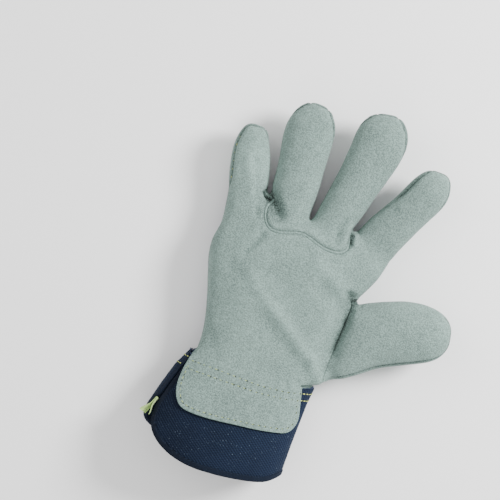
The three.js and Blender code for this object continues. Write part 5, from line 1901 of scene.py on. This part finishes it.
# %% A tree for frayed threads
def frayed(tree, given):
    """A thin cone that leans at random, and is shorter or longer at random."""
    cone = {"Vertices": 5, "Radius Top": 0.0002, "Radius Bottom": given["Radius"], "Depth": given["Length"]}
    fibre = joined(tree, "GeometryNodeMeshCone", cone)
    lean = {"Min": (-2.3, -0.5, -0.6), "Max": (-0.9, 0.5, 0.6), "Seed": 11}
    lean = joined(tree, "FunctionNodeRandomValue", lean, data_type="FLOAT_VECTOR")
    size = {"Min": 0.4, "Max": 1.0, "Seed": 5}
    size = joined(tree, "FunctionNodeRandomValue", size, data_type="FLOAT")
    return {"Instance": fibre, "Rotation": lean, "Scale": size}


FRAYED_FROM, FRAYED_TO = 0.345, 0.995  # shares of the way round the wrist
CLEAR_OF_FLOOR = 1.5
top_s = np.linspace(FRAYED_FROM, FRAYED_TO, 240) * GIRTH
top_edge = rolled(top_s, edge_at(top_s).top)
top_edge -= cuff_normals(top_edge) * CUFF_WALL / 2
top_edge = top_edge[top_edge[:, 2] > CLEAR_OF_FLOOR]
fray_tree = row_tree("frayed_threads", ("Pitch", "Length", "Radius"), frayed)
fray_values = {"Pitch": 0.36 * MM, "Length": 1.5 * MM, "Radius": 0.13 * MM, "Finish": navy_thread}
grown("cuff_fray", [top_edge], fray_tree, fray_values)

# %% [markdown]
# ## Stage, light and camera
# The glove was photographed from straight above on a white table, in soft light from all round
# with a little more from the upper right. A large lamp, two fills and a bright world do that. The
# lens is long, because the picture shows hardly any perspective.

# %% The floor and the lights
REACH = 4.0
floor_mesh = bpy.data.meshes.new("floor")
corners = [(x * REACH, y * REACH, 0) for x, y in ((-1, -1), (1, -1), (1, 1), (-1, 1))]
floor_mesh.from_pydata(corners, [], [(0, 1, 2, 3)])
floor = put("floor", floor_mesh)
floor_finish = Finish("pale_floor", roughness=0.8)
floor_finish.colour((0.93, 0.93, 0.93))
floor_mesh.materials.append(floor_finish.material)

world = bpy.data.worlds.new("soft_room")
world.use_nodes = True
world.node_tree.nodes["Background"].inputs["Color"].default_value = (1, 1, 1, 1)
world.node_tree.nodes["Background"].inputs["Strength"].default_value = 0.92
bpy.context.scene.world = world


def lamp(name, at, size, power):
    """A round lamp that shines at the middle of the glove."""
    data = bpy.data.lights.new(name, "AREA")
    data.shape = "DISK"
    data.size = size
    data.energy = power
    made = put(name, data)
    made.location = at
    made.rotation_euler = (-Vector(at)).to_track_quat("-Z", "Y").to_euler()


lamp("key", at=(0.8, 0.6, 0.7), size=0.45, power=34)
lamp("fill", at=(-0.9, 0.2, 1.0), size=1.2, power=6)
lamp("front_fill", at=(0.1, -1.2, 0.8), size=1.2, power=4)

# %% The camera over the palm
PIXEL = 0.69  # mm of the glove to one pixel of the photograph
PICTURE = 500  # pixels
TURN = math.radians(17)  # the hand leans this far in the picture
PICTURE_MIDDLE = (-20.0, 30.0)  # the place under the picture's middle, in pattern mm
GLOVE_HEIGHT = 0.027
DISTANCE = 1.6
SENSOR = 36
camera_data = bpy.data.cameras.new("camera")
camera_data.sensor_width = SENSOR
camera_data.lens = SENSOR * DISTANCE / (PIXEL * PICTURE * MM)
camera_data.clip_end = 20
camera = put("camera", camera_data)
x, y, _ = to_frame([(*PICTURE_MIDDLE, 0)])[0]
camera.location = (x, y, GLOVE_HEIGHT + DISTANCE)
camera.rotation_euler = (0, 0, TURN)
bpy.context.scene.camera = camera
print("lens:", round(camera_data.lens, 1), "mm")
